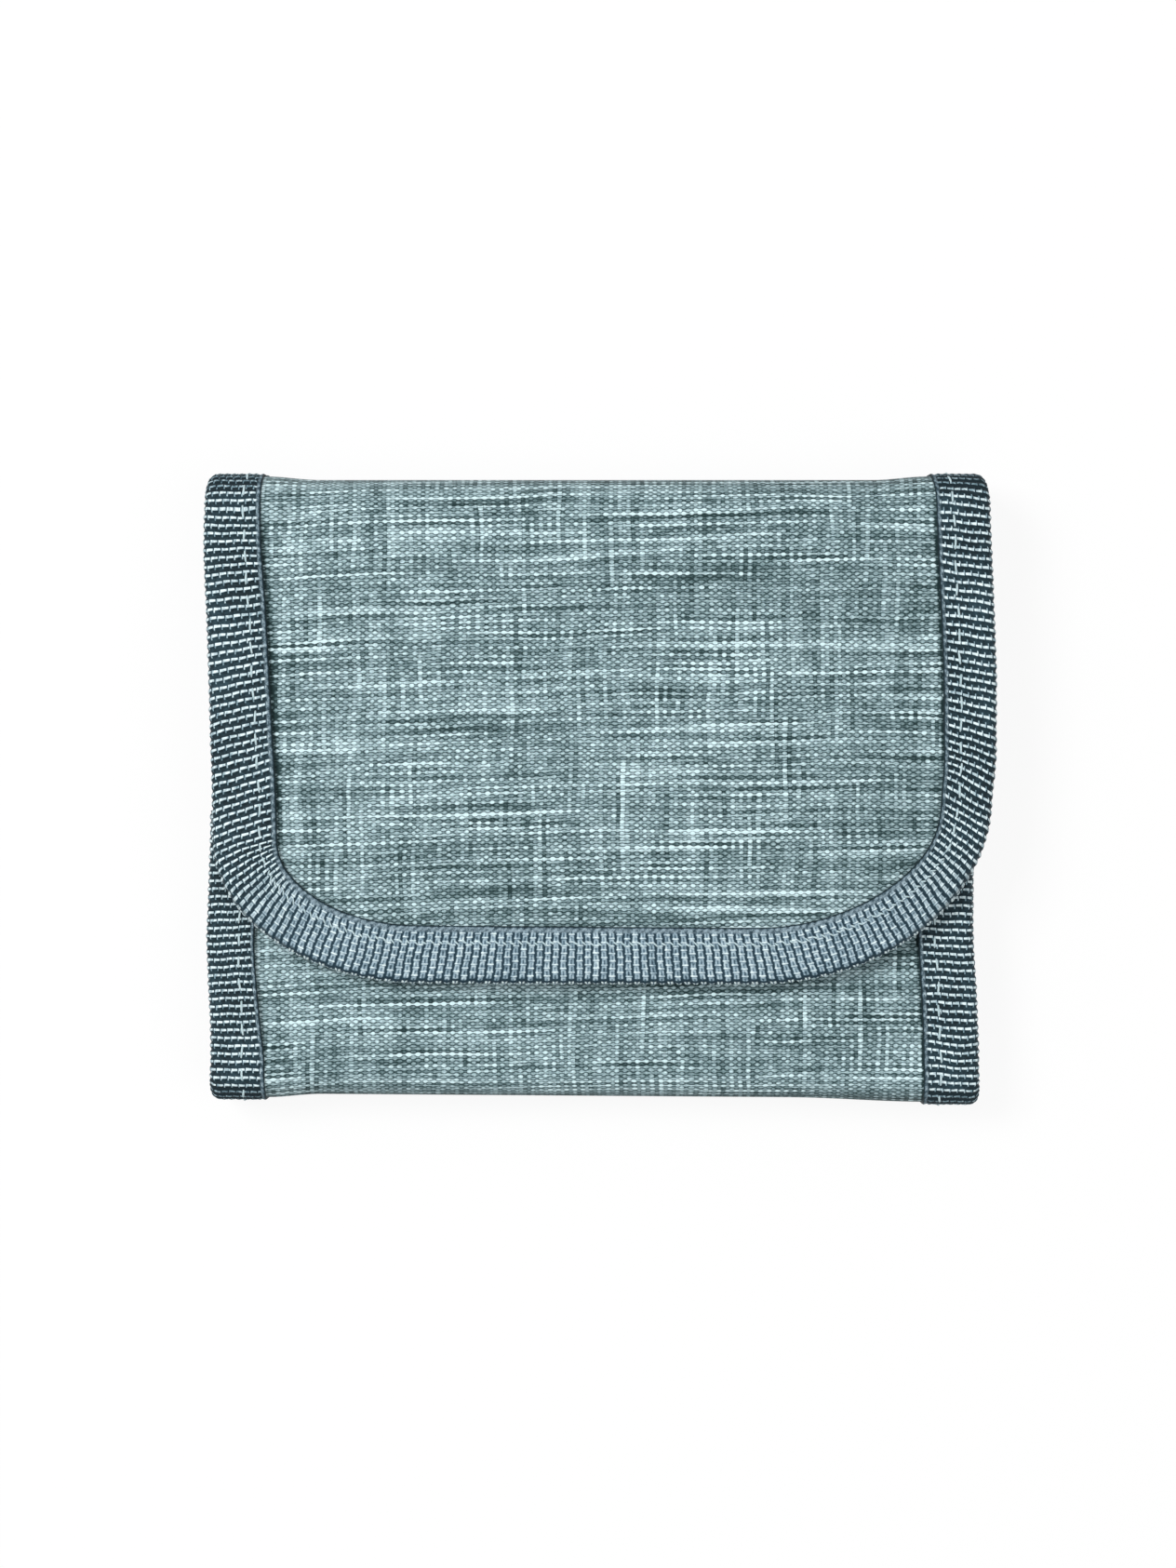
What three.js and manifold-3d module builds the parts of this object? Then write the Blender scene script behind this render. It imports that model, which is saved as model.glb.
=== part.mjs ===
// A flap wallet sewn from one bound strip of cloth, folded at the top and at the bottom,
// closed and lying on its back.
// Millimetres. +X runs along the folds, +Y towards the top fold, +Z out of the front.
// The origin is under the middle.
import * as THREE from "three";
import { mergeVertices } from "three/addons/utils/BufferGeometryUtils.js";
import Module from "manifold-3d";

const wasm = await Module();
wasm.setup();

// The closed wallet
const BODY_WIDTH = 128; // back and front panel, over the binding
const FLAP_MARGIN = 1; // how far the flap and the top fold stand out on each side
const FLAP_WIDTH = BODY_WIDTH + 2 * FLAP_MARGIN;
const HEIGHT = 105; // from fold to fold
const FLAP_DROP = 84.9; // from the top fold to the flap's free edge
const FLAP_CORNER_ACROSS = 36; // half axes of the flap's rounded corners
const FLAP_CORNER_UP = 29;
const FOLD_RADIUS_SHARE = 0.34; // of the height that the fold turns through
const FOLD_LEAD = 4; // overlap of a fold's line with the flat panel

// The sewn layers of every panel
const TAPE = 0.9; // thickness of the ribbed binding tape
const TAPE_LEG = 9.3; // width of the folded tape that shows on each face
const CLOTH = 0.5;
const LINING = 0.5;
const EASE = 0.1; // play between stacked layers
const FOLD_GAP = 0.3; // play between a fold and what it turns against

// Note pocket and coin pocket
const SHEET = 0.5; // pocket cloth
const NOTE_DEPTH = 4.8;
const COIN_DEPTH = 1.1;
const POCKET_SIDE = 0.5; // from the binding to the pockets
const HEM = 0.3;
const HEM_LEG = 4;
const COIN_INSET = 1; // from the edge of the note pocket to the coin pocket
const SEAM_LIP = 1; // turned-down edge of the coin pocket's cloth

// Zip
const ZIP_TAPE = 0.5;
const ZIP_TAPE_WIDTH = 7;
const ZIP_TAPE_SPLIT = 0.3; // between the two tapes
const ZIP_SLOT = 9.4; // opening in the coin pocket's cloth
const ZIP_END = 6; // from the tape's end to the first tooth
const TOOTH_HEIGHT = 1.4;
const TOOTH_PITCH = 2.4;
const TOOTH_REACH = 0.7; // past the zip's middle
const TOOTH_PLAY = 0.2;
const TOOTH_ROOT = 1.6; // width of the strip that carries the teeth
const STOP_LENGTH = 2;
const SLIDER_LENGTH = 11;
const SLIDER_WIDTH = 8.4;
const SLIDER_NOSE = 2.2; // corner radius of the slider
const SLIDER_PLATE = 0.9;
const SLIDER_PLAY = 0.2;
const SLIDER_SIDE = 1.2; // thickness of the slider's side walls
const BAIL_SPAN = 6.4;
const BAIL_FOOT = 0.9;
const BAIL_WIDTH = 1.2;
const BAIL_BAR = 0.7;
const PULL_THICK = 0.8;
const PULL_PLAY = 0.2; // above and below the pull, under the bail
const PULL_RING_WIDTH = 8;
const PULL_RING_BAR = 1.1;
const PULL_RING_LENGTH = 6;
const PULL_LENGTH = 16;
const PULL_WIDTH = 6.4;
const PULL_EYE = 1.5; // radius of the hole in the pull's end

// Card pockets
const CARD_SHEET = 0.4;
const CARD_MARGIN = 6; // from the side of the coin pocket to the card pockets
const CARD_FOOT = 1.5; // from the foot of the coin pocket to the card pockets
const CARD_DROP = 3; // from the zip's slot to the first card pocket's mouth
const CARD_STEP = 10; // from one mouth to the next
const WINDOW_FRAME = 5; // width of the border round the clear window
const CARD_CLEAR = 0.5; // from the window to the front panel

// Hook-and-loop closure
const CLOSURE_LENGTH = 70;
const CLOSURE_WIDTH = 16;
const CLOSURE_MARGIN = 1.5; // from the flap's binding to the hook strip
const CLOSURE_GAP = 0.3;
const FRONT_EDGE = 2; // from the loop strip to the front panel's free edge
const LOOP = 1;
const HOOK = 1.2;

const ARC_STEPS = 14;
const OVERRUN = 5; // how far a cutting tool runs past what it cuts

// Depths in a panel, measured inwards from its outer face
const FLANGE_OUT = TAPE + EASE;
const FLANGE_IN = FLANGE_OUT + CLOTH;
const LINING_IN = FLANGE_IN + LINING;
const PANEL = LINING_IN + EASE + TAPE;

// Heights of the stack, from the table upwards
const NOTE_TOP = LINING_IN + NOTE_DEPTH;
const NOTE_PANEL_TOP = NOTE_TOP + SHEET;
const COIN_TOP = NOTE_PANEL_TOP + COIN_DEPTH;
const COIN_WALL_TOP = COIN_TOP + SHEET;
const TOOTH_TOP = COIN_TOP + TOOTH_HEIGHT;
const cardFloor = (k) => COIN_WALL_TOP + EASE + k * (CARD_SHEET + EASE);
const WINDOW_TOP = cardFloor(2) + CARD_SHEET;
const FRAME_TOP = WINDOW_TOP + CARD_SHEET;
const FRONT_TOP = FRAME_TOP + CARD_CLEAR + LINING_IN;
const LOOP_TOP = FRONT_TOP + LOOP;
const HOOK_FOOT = LOOP_TOP + CLOSURE_GAP;
const FLAP_TOP = HOOK_FOOT + HOOK + LINING_IN;

// One fold: its size and the two pivots that its cloth turns about. side is 1 at the top and
// -1 at the bottom. The pivots are placed so that a sheet in the middle of the panel lies flat
// at its own length once the fold is open.
function foldOf(side, top, width) {
  const radius = FOLD_RADIUS_SHARE * top;
  const middle = radius - PANEL / 2;
  const start = HEIGHT / 2 - radius;
  const across = (Math.PI / 4) * middle;
  const up = radius - across;
  return {
    side,
    top,
    width,
    radius,
    start,
    pivotY: start + across,
    pivotLow: up,
    pivotHigh: top - up,
    knuckle: Math.SQRT2 * across - (radius - PANEL), // from a pivot to the panel's inner face
  };
}
const TOP_FOLD = foldOf(1, FLAP_TOP, FLAP_WIDTH);
const BOTTOM_FOLD = foldOf(-1, FRONT_TOP, BODY_WIDTH);

// Places along Y
const FLAP_EDGE = HEIGHT / 2 - FLAP_DROP;
const CLOSURE_LOW = FLAP_EDGE + TAPE_LEG + CLOSURE_MARGIN;
const CLOSURE_HIGH = CLOSURE_LOW + CLOSURE_WIDTH;
const FRONT_EDGE_Y = CLOSURE_HIGH + FRONT_EDGE;
const NOTE_FOOT = -(BOTTOM_FOLD.start - FOLD_GAP);
const NOTE_MOUTH = TOP_FOLD.start - FOLD_GAP - HEM;
const COIN_FOOT = NOTE_FOOT + COIN_INSET;
const COIN_HEAD = NOTE_MOUTH - HEM_LEG - EASE;
const ZIP_Y = COIN_HEAD - SEAM_LIP - EASE - ZIP_TAPE_WIDTH - ZIP_TAPE_SPLIT / 2;
const cardMouth = (k) => ZIP_Y - ZIP_SLOT / 2 - CARD_DROP - k * CARD_STEP;

// Half widths
const NOTE_HALF = BODY_WIDTH / 2 - TAPE_LEG - POCKET_SIDE;
const COIN_HALF = NOTE_HALF - COIN_INSET;
const ZIP_HALF = COIN_HALF - SEAM_LIP - EASE;
const TEETH_HALF = ZIP_HALF - ZIP_END;
const CARD_HALF = COIN_HALF - CARD_MARGIN;

const MATERIALS = {
  cloth: { color: 0x8ba3a8, roughness: 0.9 },
  tape: { color: 0x5d7480, roughness: 0.6 },
  lining: { color: 0x2b3338, roughness: 0.8 },
  padding: { color: 0xd9d7cf, roughness: 1 },
  clear: { color: 0xe4edf0, roughness: 0.15, transparent: true, opacity: 0.35 },
  fastener: { color: 0x3c4a52, roughness: 0.95 },
  teeth: { color: 0x2c343a, roughness: 0.5 },
  metal: { color: 0x6e7275, roughness: 0.35, metalness: 0.9 },
};

// Geometry as a solid that can be joined and cut
function solid(geometry) {
  const bare = geometry.index ? geometry.toNonIndexed() : geometry.clone();
  bare.deleteAttribute("normal");
  bare.deleteAttribute("uv");
  const merged = mergeVertices(bare);
  return new wasm.Manifold(
    new wasm.Mesh({
      numProp: 3,
      vertProperties: merged.attributes.position.array,
      triVerts: new Uint32Array(merged.index.array),
    }),
  );
}

const join = (first, ...rest) => rest.reduce((all, one) => all.add(one), first);

function box([x0, x1], [y0, y1], [z0, z1]) {
  const geometry = new THREE.BoxGeometry(x1 - x0, y1 - y0, z1 - z0);
  return solid(geometry.translate((x0 + x1) / 2, (y0 + y1) / 2, (z0 + z1) / 2));
}

const centred = (half) => [-half, half];

// A closed outline given as points, raised to a depth
function extruded(points, depth) {
  const shape = new THREE.Shape(points.map(([across, up]) => new THREE.Vector2(across, up)));
  return new THREE.ExtrudeGeometry(shape, { depth, bevelEnabled: false });
}

// An outline in the plane of the panels, from one height to another
const prism = (points, [z0, z1]) => solid(extruded(points, z1 - z0).translate(0, 0, z0));

// A side view in Y and Z, from one X to another
function slice(points, [x0, x1]) {
  const geometry = extruded(points, x1 - x0);
  const turn = new THREE.Matrix4().makeBasis(
    new THREE.Vector3(0, 1, 0),
    new THREE.Vector3(0, 0, 1),
    new THREE.Vector3(1, 0, 0),
  );
  return solid(geometry.applyMatrix4(turn).translate(x0, 0, 0));
}

// A round bar along X, at a pivot
function bar(y, z, radius, half) {
  const geometry = new THREE.CylinderGeometry(radius, radius, 2 * half, 4 * ARC_STEPS);
  return solid(geometry.rotateZ(Math.PI / 2).translate(0, y, z));
}

// A round post along Z
function post(x, y, radius, [z0, z1]) {
  const geometry = new THREE.CylinderGeometry(radius, radius, z1 - z0, 2 * ARC_STEPS);
  return solid(geometry.rotateX(Math.PI / 2).translate(x, y, (z0 + z1) / 2));
}

// Points along part of an ellipse, both ends included
function arc(x, y, across, up, from, to) {
  return Array.from({ length: ARC_STEPS + 1 }, (_, k) => {
    const turn = from + ((to - from) * k) / ARC_STEPS;
    return [x + across * Math.cos(turn), y + up * Math.sin(turn)];
  });
}

const rectangle = ([x0, x1], [y0, y1]) => [
  [x0, y0],
  [x1, y0],
  [x1, y1],
  [x0, y1],
];

// A rectangle with round corners
function roundedRectangle([x0, x1], [y0, y1], radius) {
  const quarter = (x, y, k) => {
    const from = (k * Math.PI) / 2;
    return arc(x, y, radius, radius, from, from + Math.PI / 2);
  };
  return [
    ...quarter(x1 - radius, y1 - radius, 0),
    ...quarter(x0 + radius, y1 - radius, 1),
    ...quarter(x0 + radius, y0 + radius, 2),
    ...quarter(x1 - radius, y0 + radius, 3),
  ];
}

// The flap's outline, drawn in from its edge by inset; head is its straight end at the fold.
function flapOutline(inset, head) {
  const half = FLAP_WIDTH / 2 - inset;
  const edge = FLAP_EDGE + inset;
  const across = FLAP_CORNER_ACROSS - inset;
  const up = FLAP_CORNER_UP - inset;
  return [
    [half, head],
    [-half, head],
    ...arc(across - half, edge + up, across, up, Math.PI, 1.5 * Math.PI),
    ...arc(half - across, edge + up, across, up, 1.5 * Math.PI, 2 * Math.PI),
  ];
}

// The three panels: the outline for an inset, with past as an overrun at the folds, the height of a depth
// inside the outer face, and the folds that the panel runs into
const PANELS = {
  back: {
    width: BODY_WIDTH,
    outline: (inset, past = 0) =>
      rectangle(centred(BODY_WIDTH / 2 - inset), [
        -BOTTOM_FOLD.start - past,
        TOP_FOLD.start + past,
      ]),
    height: (depth) => depth,
    folds: [
      [TOP_FOLD, "pivotLow"],
      [BOTTOM_FOLD, "pivotLow"],
    ],
  },
  flap: {
    width: FLAP_WIDTH,
    outline: (inset, past = 0) => flapOutline(inset, TOP_FOLD.start + past),
    height: (depth) => FLAP_TOP - depth,
    folds: [[TOP_FOLD, "pivotHigh"]],
  },
  front: {
    width: BODY_WIDTH,
    outline: (inset, past = 0, edge = past) =>
      rectangle(centred(BODY_WIDTH / 2 - inset), [
        -BOTTOM_FOLD.start - past,
        FRONT_EDGE_Y + edge,
      ]),
    height: (depth) => FRONT_TOP - depth,
    folds: [[BOTTOM_FOLD, "pivotHigh"]],
  },
};

const spanOf = (panel, a, b) => [panel.height(a), panel.height(b)].sort((p, q) => p - q);

const sideOf = (made, side) => {
  const reach = FLAP_WIDTH + HEIGHT;
  return made.intersect(box(side > 0 ? [0, reach] : [-reach, 0], centred(reach), centred(reach)));
};

// The line of a fold at a depth inside its outer face, from the back to the panel in front
function foldLine(fold, depth) {
  const { radius, start, top, side } = fold;
  const bend = radius - depth;
  const turns = Array.from({ length: ARC_STEPS + 1 }, (_, k) => (k / ARC_STEPS) * (Math.PI / 2));
  const low = turns.map((t) => [start + bend * Math.sin(t), radius - bend * Math.cos(t)]);
  const high = turns.map((t) => [start + bend * Math.cos(t), top - radius + bend * Math.sin(t)]);
  const lead = start - FOLD_LEAD;
  const line = [[lead, depth], ...low, ...high, [lead, top - depth]];
  return line.map(([y, z]) => [side * y, z]);
}

// A layer of a fold between two depths and two X
function foldBand(fold, [outer, inner], span) {
  const points = [...foldLine(fold, outer), ...foldLine(fold, inner).reverse()];
  return slice(fold.side > 0 ? points : points.reverse(), span);
}

function foldCloth(fold, width) {
  return join(
    foldBand(fold, [0, FLANGE_IN], centred(width / 2 - TAPE_LEG - EASE)),
    foldBand(fold, [FLANGE_OUT, FLANGE_IN], centred(width / 2 - FLANGE_OUT)),
  );
}

const foldLining = (fold, width) =>
  foldBand(fold, [FLANGE_IN, LINING_IN], centred(width / 2 - FLANGE_OUT));

function foldBinding(fold, width, side) {
  const across = (a) => [side * (width / 2), side * (width / 2 - a)].sort((p, q) => p - q);
  return join(
    foldBand(fold, [0, TAPE], across(TAPE_LEG)),
    foldBand(fold, [PANEL - TAPE, PANEL], across(TAPE_LEG)),
    foldBand(fold, [0, PANEL], across(TAPE)),
  );
}

// The room round one end of a fold that belongs to the panel there
function panelEnd(fold, level) {
  const { pivotY, pivotLow, top, start, side } = fold;
  const half = top / 2;
  const low = [
    [pivotY, pivotLow],
    [pivotY - half + pivotLow, half],
    [start - FOLD_LEAD - OVERRUN, half],
    [start - FOLD_LEAD - OVERRUN, -OVERRUN],
    [pivotY, -OVERRUN],
  ];
  const flip = level === "pivotHigh";
  const points = low.map(([y, z]) => [side * y, flip ? top - z : z]);
  return slice((side > 0) === flip ? points.reverse() : points, centred(FLAP_WIDTH));
}

const pivotBar = (fold, level, radius) =>
  bar(fold.side * fold.pivotY, fold[level], radius, FLAP_WIDTH);

// A panel's piece carried on round its folds as far as their pivots
function carriedOn(panel, flat, layer) {
  return panel.folds.reduce((made, [fold, level]) => {
    const end = layer(fold).intersect(panelEnd(fold, level));
    const socket = pivotBar(fold, level, fold.knuckle + FOLD_GAP / 2);
    return made.add(end).subtract(socket);
  }, flat);
}

// A fold's own piece, between its pivots
function betweenPivots(fold, made) {
  const rest = made.subtract(panelEnd(fold, "pivotLow")).subtract(panelEnd(fold, "pivotHigh"));
  const radius = fold.knuckle - FOLD_GAP / 2;
  return join(
    rest,
    made.intersect(pivotBar(fold, "pivotLow", radius)),
    made.intersect(pivotBar(fold, "pivotHigh", radius)),
  );
}

// Binding tape folded over a panel's edge
function bindingOf(panel) {
  const whole = prism(panel.outline(0), spanOf(panel, 0, PANEL));
  const opening = prism(panel.outline(TAPE_LEG, OVERRUN), spanOf(panel, -OVERRUN, PANEL + OVERRUN));
  const slot = prism(panel.outline(TAPE, OVERRUN), spanOf(panel, TAPE, PANEL - TAPE));
  const both = (fold) =>
    join(foldBinding(fold, panel.width, 1), foldBinding(fold, panel.width, -1));
  return carriedOn(panel, whole.subtract(opening).subtract(slot), both);
}

const paddingOf = (panel) =>
  prism(panel.outline(TAPE_LEG + EASE + CLOTH, 0, -CLOTH), spanOf(panel, CLOTH, FLANGE_IN));

// Outer cloth: a raised field between the tapes, hollow for the padding, with its edge turned into the tapes
function clothOf(panel) {
  const field = prism(panel.outline(TAPE_LEG + EASE), spanOf(panel, 0, FLANGE_IN));
  const edge = prism(panel.outline(FLANGE_OUT), spanOf(panel, FLANGE_OUT, FLANGE_IN));
  const whole = carriedOn(panel, join(field, edge), (fold) => foldCloth(fold, panel.width));
  return whole.subtract(paddingOf(panel));
}

function liningOf(panel) {
  const flat = prism(panel.outline(FLANGE_OUT), spanOf(panel, FLANGE_IN, LINING_IN));
  return carriedOn(panel, flat, (fold) => foldLining(fold, panel.width));
}

// Note pocket: a full-width pocket on the back panel, open towards the top fold
function noteGusset(side) {
  const across = [side * (NOTE_HALF - SHEET), side * NOTE_HALF].sort((p, q) => p - q);
  return box(across, [NOTE_FOOT, NOTE_MOUTH], [LINING_IN, NOTE_TOP]);
}

const noteFootGusset = () =>
  box(centred(NOTE_HALF - SHEET), [NOTE_FOOT, NOTE_FOOT + SHEET], [LINING_IN, NOTE_TOP]);

const notePanel = () =>
  box(centred(NOTE_HALF), [NOTE_FOOT, NOTE_MOUTH], [NOTE_TOP, NOTE_PANEL_TOP]);

function noteHem() {
  const across = centred(NOTE_HALF - SHEET - EASE);
  const low = NOTE_MOUTH - HEM_LEG;
  return join(
    box(across, [low, NOTE_MOUTH], [NOTE_TOP - HEM, NOTE_TOP]),
    box(across, [low, NOTE_MOUTH], [NOTE_PANEL_TOP, NOTE_PANEL_TOP + HEM]),
    box(across, [NOTE_MOUTH, NOTE_MOUTH + HEM], [NOTE_TOP - HEM, NOTE_PANEL_TOP + HEM]),
  );
}

// Coin pocket: cloth over the note pocket, split by the zip, with its outer edges turned down
function coinWall([low, high], lipAt) {
  const whole = box(centred(COIN_HALF), [low, high], [NOTE_PANEL_TOP, COIN_WALL_TOP]);
  const inside = [low, high].map((y) => (y === lipAt ? y - Math.sign(y) * SEAM_LIP : y));
  const hollow = inside.map((y) => (y === low || y === high ? y + Math.sign(y - lipAt) * OVERRUN : y));
  return whole.subtract(box(centred(COIN_HALF - SEAM_LIP), hollow, [-OVERRUN, COIN_TOP]));
}

const coinUpper = () => coinWall([ZIP_Y + ZIP_SLOT / 2, COIN_HEAD], COIN_HEAD);
const coinLower = () => coinWall([COIN_FOOT, ZIP_Y - ZIP_SLOT / 2], COIN_FOOT);

function zipTape(side) {
  const near = ZIP_Y + side * (ZIP_TAPE_SPLIT / 2);
  const along = [near, near + side * ZIP_TAPE_WIDTH].sort((p, q) => p - q);
  return box(centred(ZIP_HALF), along, [COIN_TOP - ZIP_TAPE, COIN_TOP]);
}

// One side's teeth: a strip with a tooth at every pitch, half a pitch on from the other side's
function zipTeeth(side) {
  const root = ZIP_Y + side * (TOOTH_REACH + TOOTH_PLAY);
  const strip = [root, root + side * TOOTH_ROOT].sort((p, q) => p - q);
  const height = [COIN_TOP, TOOTH_TOP];
  const count = Math.floor((2 * TEETH_HALF - TOOTH_PITCH) / TOOTH_PITCH);
  const half = TOOTH_PITCH / 4 - TOOTH_PLAY / 2;
  const along = [ZIP_Y - side * TOOTH_REACH, root + (side * TOOTH_ROOT) / 2].sort((p, q) => p - q);
  const first = -((count - 1) * TOOTH_PITCH) / 2 + (side * TOOTH_PITCH) / 4;
  const teeth = Array.from({ length: count }, (_, k) => {
    const x = first + k * TOOTH_PITCH;
    return box([x - half, x + half], along, height);
  });
  return join(box(centred(TEETH_HALF), strip, height), ...teeth);
}

function zipStop(end) {
  const near = end * (TEETH_HALF + TOOTH_PLAY);
  const across = [near, near + end * STOP_LENGTH].sort((p, q) => p - q);
  return box(across, [ZIP_Y - SLIDER_WIDTH / 2, ZIP_Y + SLIDER_WIDTH / 2], [COIN_TOP, TOOTH_TOP]);
}

// The slider rests at the closed end of the zip, at +X.
const SLIDER_X = TEETH_HALF - SLIDER_LENGTH / 2;
const SLIDER_TRAVEL = 2 * TEETH_HALF - SLIDER_LENGTH;
const PLATE_FOOT = TOOTH_TOP + SLIDER_PLAY;
const PLATE_TOP = PLATE_FOOT + SLIDER_PLATE;
const BAIL_FLOOR = PLATE_TOP + 2 * PULL_PLAY + PULL_THICK;
const BAIL_TOP = BAIL_FLOOR + BAIL_BAR;

function zipSlider() {
  const xs = [SLIDER_X - SLIDER_LENGTH / 2, SLIDER_X + SLIDER_LENGTH / 2];
  const ys = [ZIP_Y - SLIDER_WIDTH / 2, ZIP_Y + SLIDER_WIDTH / 2];
  const whole = prism(roundedRectangle(xs, ys, SLIDER_NOSE), [COIN_TOP + SLIDER_PLAY, PLATE_TOP]);
  const half = SLIDER_WIDTH / 2 - SLIDER_SIDE;
  const channel = box(
    [xs[0] - OVERRUN, xs[1] + OVERRUN],
    [ZIP_Y - half, ZIP_Y + half],
    [-OVERRUN, PLATE_FOOT],
  );
  const bail = [ZIP_Y - BAIL_WIDTH / 2, ZIP_Y + BAIL_WIDTH / 2];
  const reach = [SLIDER_X - BAIL_SPAN / 2, SLIDER_X + BAIL_SPAN / 2];
  const arch = box(reach, bail, [PLATE_FOOT, BAIL_TOP]);
  const under = [reach[0] + BAIL_FOOT, reach[1] - BAIL_FOOT];
  const passage = box(under, [bail[0] - OVERRUN, bail[1] + OVERRUN], [PLATE_TOP, BAIL_FLOOR]);
  return join(whole.subtract(channel), arch.subtract(passage));
}

// The pull: a ring whose bar passes under the bail, and a tab that lies back along the zip
function zipPull() {
  const half = PULL_RING_WIDTH / 2;
  const inner = half - PULL_RING_BAR;
  const head = SLIDER_X + PULL_RING_BAR / 2;
  const neck = head - PULL_RING_LENGTH;
  const end = neck - PULL_LENGTH;
  const height = [PLATE_TOP + PULL_PLAY, PLATE_TOP + PULL_PLAY + PULL_THICK];
  const through = [height[0] - OVERRUN, height[1] + OVERRUN];
  const ring = prism(
    roundedRectangle([neck, head], [ZIP_Y - half, ZIP_Y + half], PULL_RING_BAR),
    height,
  );
  const hole = box([neck + PULL_RING_BAR, head - PULL_RING_BAR], [ZIP_Y - inner, ZIP_Y + inner], through);
  const tab = prism(
    roundedRectangle(
      [end, neck + PULL_RING_BAR / 2],
      [ZIP_Y - PULL_WIDTH / 2, ZIP_Y + PULL_WIDTH / 2],
      PULL_RING_BAR,
    ),
    height,
  );
  const eye = post(end + 2 * PULL_EYE, ZIP_Y, PULL_EYE, through);
  return join(ring.subtract(hole), tab.subtract(eye));
}

const CARD_LOW = COIN_FOOT + CARD_FOOT;

const cardSheet = (k) =>
  box(centred(CARD_HALF), [CARD_LOW, cardMouth(k)], [cardFloor(k), cardFloor(k) + CARD_SHEET]);

function windowFrame() {
  const outer = box(centred(CARD_HALF), [CARD_LOW, cardMouth(2)], [WINDOW_TOP, FRAME_TOP]);
  const low = CARD_LOW + WINDOW_FRAME;
  const high = cardMouth(2) - WINDOW_FRAME;
  return outer.subtract(box(centred(CARD_HALF - WINDOW_FRAME), [low, high], [COIN_TOP, FLAP_TOP]));
}

const closureStrip = (height) =>
  box(centred(CLOSURE_LENGTH / 2), [CLOSURE_LOW, CLOSURE_HIGH], height);

// A named mesh from a finished solid
function piece(name, material, made) {
  const { vertProperties, triVerts, numProp } = made.getMesh();
  const positions = new Float32Array((vertProperties.length / numProp) * 3);
  for (let i = 0; i < positions.length / 3; i++) {
    positions.set(vertProperties.subarray(i * numProp, i * numProp + 3), 3 * i);
  }
  const geometry = new THREE.BufferGeometry();
  geometry.setAttribute("position", new THREE.BufferAttribute(positions, 3));
  geometry.setIndex(new THREE.BufferAttribute(triVerts, 1));
  geometry.computeVertexNormals();
  const mesh = new THREE.Mesh(geometry, new THREE.MeshStandardMaterial(MATERIALS[material]));
  mesh.name = name;
  return mesh;
}

function group(...members) {
  const made = new THREE.Group();
  made.add(...members);
  return made;
}

function backPanel() {
  const { back } = PANELS;
  const binding = bindingOf(back);
  return group(
    piece("back_cloth", "cloth", clothOf(back)),
    piece("back_padding", "padding", paddingOf(back)),
    piece("back_lining", "lining", liningOf(back)),
    piece("back_binding_left", "tape", sideOf(binding, -1)),
    piece("back_binding_right", "tape", sideOf(binding, 1)),
  );
}

function notePocket() {
  return group(
    piece("note_pocket_panel", "lining", notePanel()),
    piece("note_pocket_gusset_left", "lining", noteGusset(-1)),
    piece("note_pocket_gusset_right", "lining", noteGusset(1)),
    piece("note_pocket_foot_gusset", "lining", noteFootGusset()),
    piece("note_pocket_hem", "tape", noteHem()),
  );
}

function coinPocket() {
  return group(
    piece("coin_pocket_upper_wall", "lining", coinUpper()),
    piece("coin_pocket_lower_wall", "lining", coinLower()),
    piece("zip_tape_upper", "lining", zipTape(1)),
    piece("zip_tape_lower", "lining", zipTape(-1)),
    piece("zip_teeth_upper", "teeth", zipTeeth(1)),
    piece("zip_teeth_lower", "teeth", zipTeeth(-1)),
    piece("zip_stop_closed_end", "metal", zipStop(1)),
    piece("zip_stop_open_end", "metal", zipStop(-1)),
    piece("zip_slider", "metal", zipSlider()),
    piece("zip_pull", "metal", zipPull()),
  );
}

function cardPockets() {
  return group(
    piece("card_pocket_rear", "lining", cardSheet(0)),
    piece("card_pocket_middle", "lining", cardSheet(1)),
    piece("id_window", "clear", cardSheet(2)),
    piece("id_window_frame", "tape", windowFrame()),
  );
}

function foldPieces(name, fold) {
  return group(
    piece(`${name}_cloth`, "cloth", betweenPivots(fold, foldCloth(fold, fold.width))),
    piece(`${name}_lining`, "lining", betweenPivots(fold, foldLining(fold, fold.width))),
    piece(`${name}_binding_left`, "tape", betweenPivots(fold, foldBinding(fold, fold.width, -1))),
    piece(`${name}_binding_right`, "tape", betweenPivots(fold, foldBinding(fold, fold.width, 1))),
  );
}

function flapPanel() {
  const { flap } = PANELS;
  return group(
    piece("flap_cloth", "cloth", clothOf(flap)),
    piece("flap_padding", "padding", paddingOf(flap)),
    piece("flap_lining", "lining", liningOf(flap)),
    piece("flap_binding", "tape", bindingOf(flap)),
    piece("hook_strip", "fastener", closureStrip([HOOK_FOOT, HOOK_FOOT + HOOK])),
  );
}

function frontPanel() {
  const { front } = PANELS;
  const binding = bindingOf(front);
  return group(
    piece("front_cloth", "cloth", clothOf(front)),
    piece("front_padding", "padding", paddingOf(front)),
    piece("front_lining", "lining", liningOf(front)),
    piece("front_binding_left", "tape", sideOf(binding, -1)),
    piece("front_binding_right", "tape", sideOf(binding, 1)),
    piece("loop_strip", "fastener", closureStrip([FRONT_TOP, LOOP_TOP])),
  );
}

export default group(
  backPanel(),
  notePocket(),
  coinPocket(),
  cardPockets(),
  foldPieces("top_fold", TOP_FOLD),
  flapPanel(),
  foldPieces("bottom_fold", BOTTOM_FOLD),
  frontPanel(),
);
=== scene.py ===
"""A flap wallet in heathered cloth with ribbed binding tape, around its CAD frame.

Lengths here are in millimetres until a mesh is made.
"""

import math

import bpy
import numpy as np
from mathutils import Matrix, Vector
from mathutils.geometry import tessellate_polygon


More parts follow.
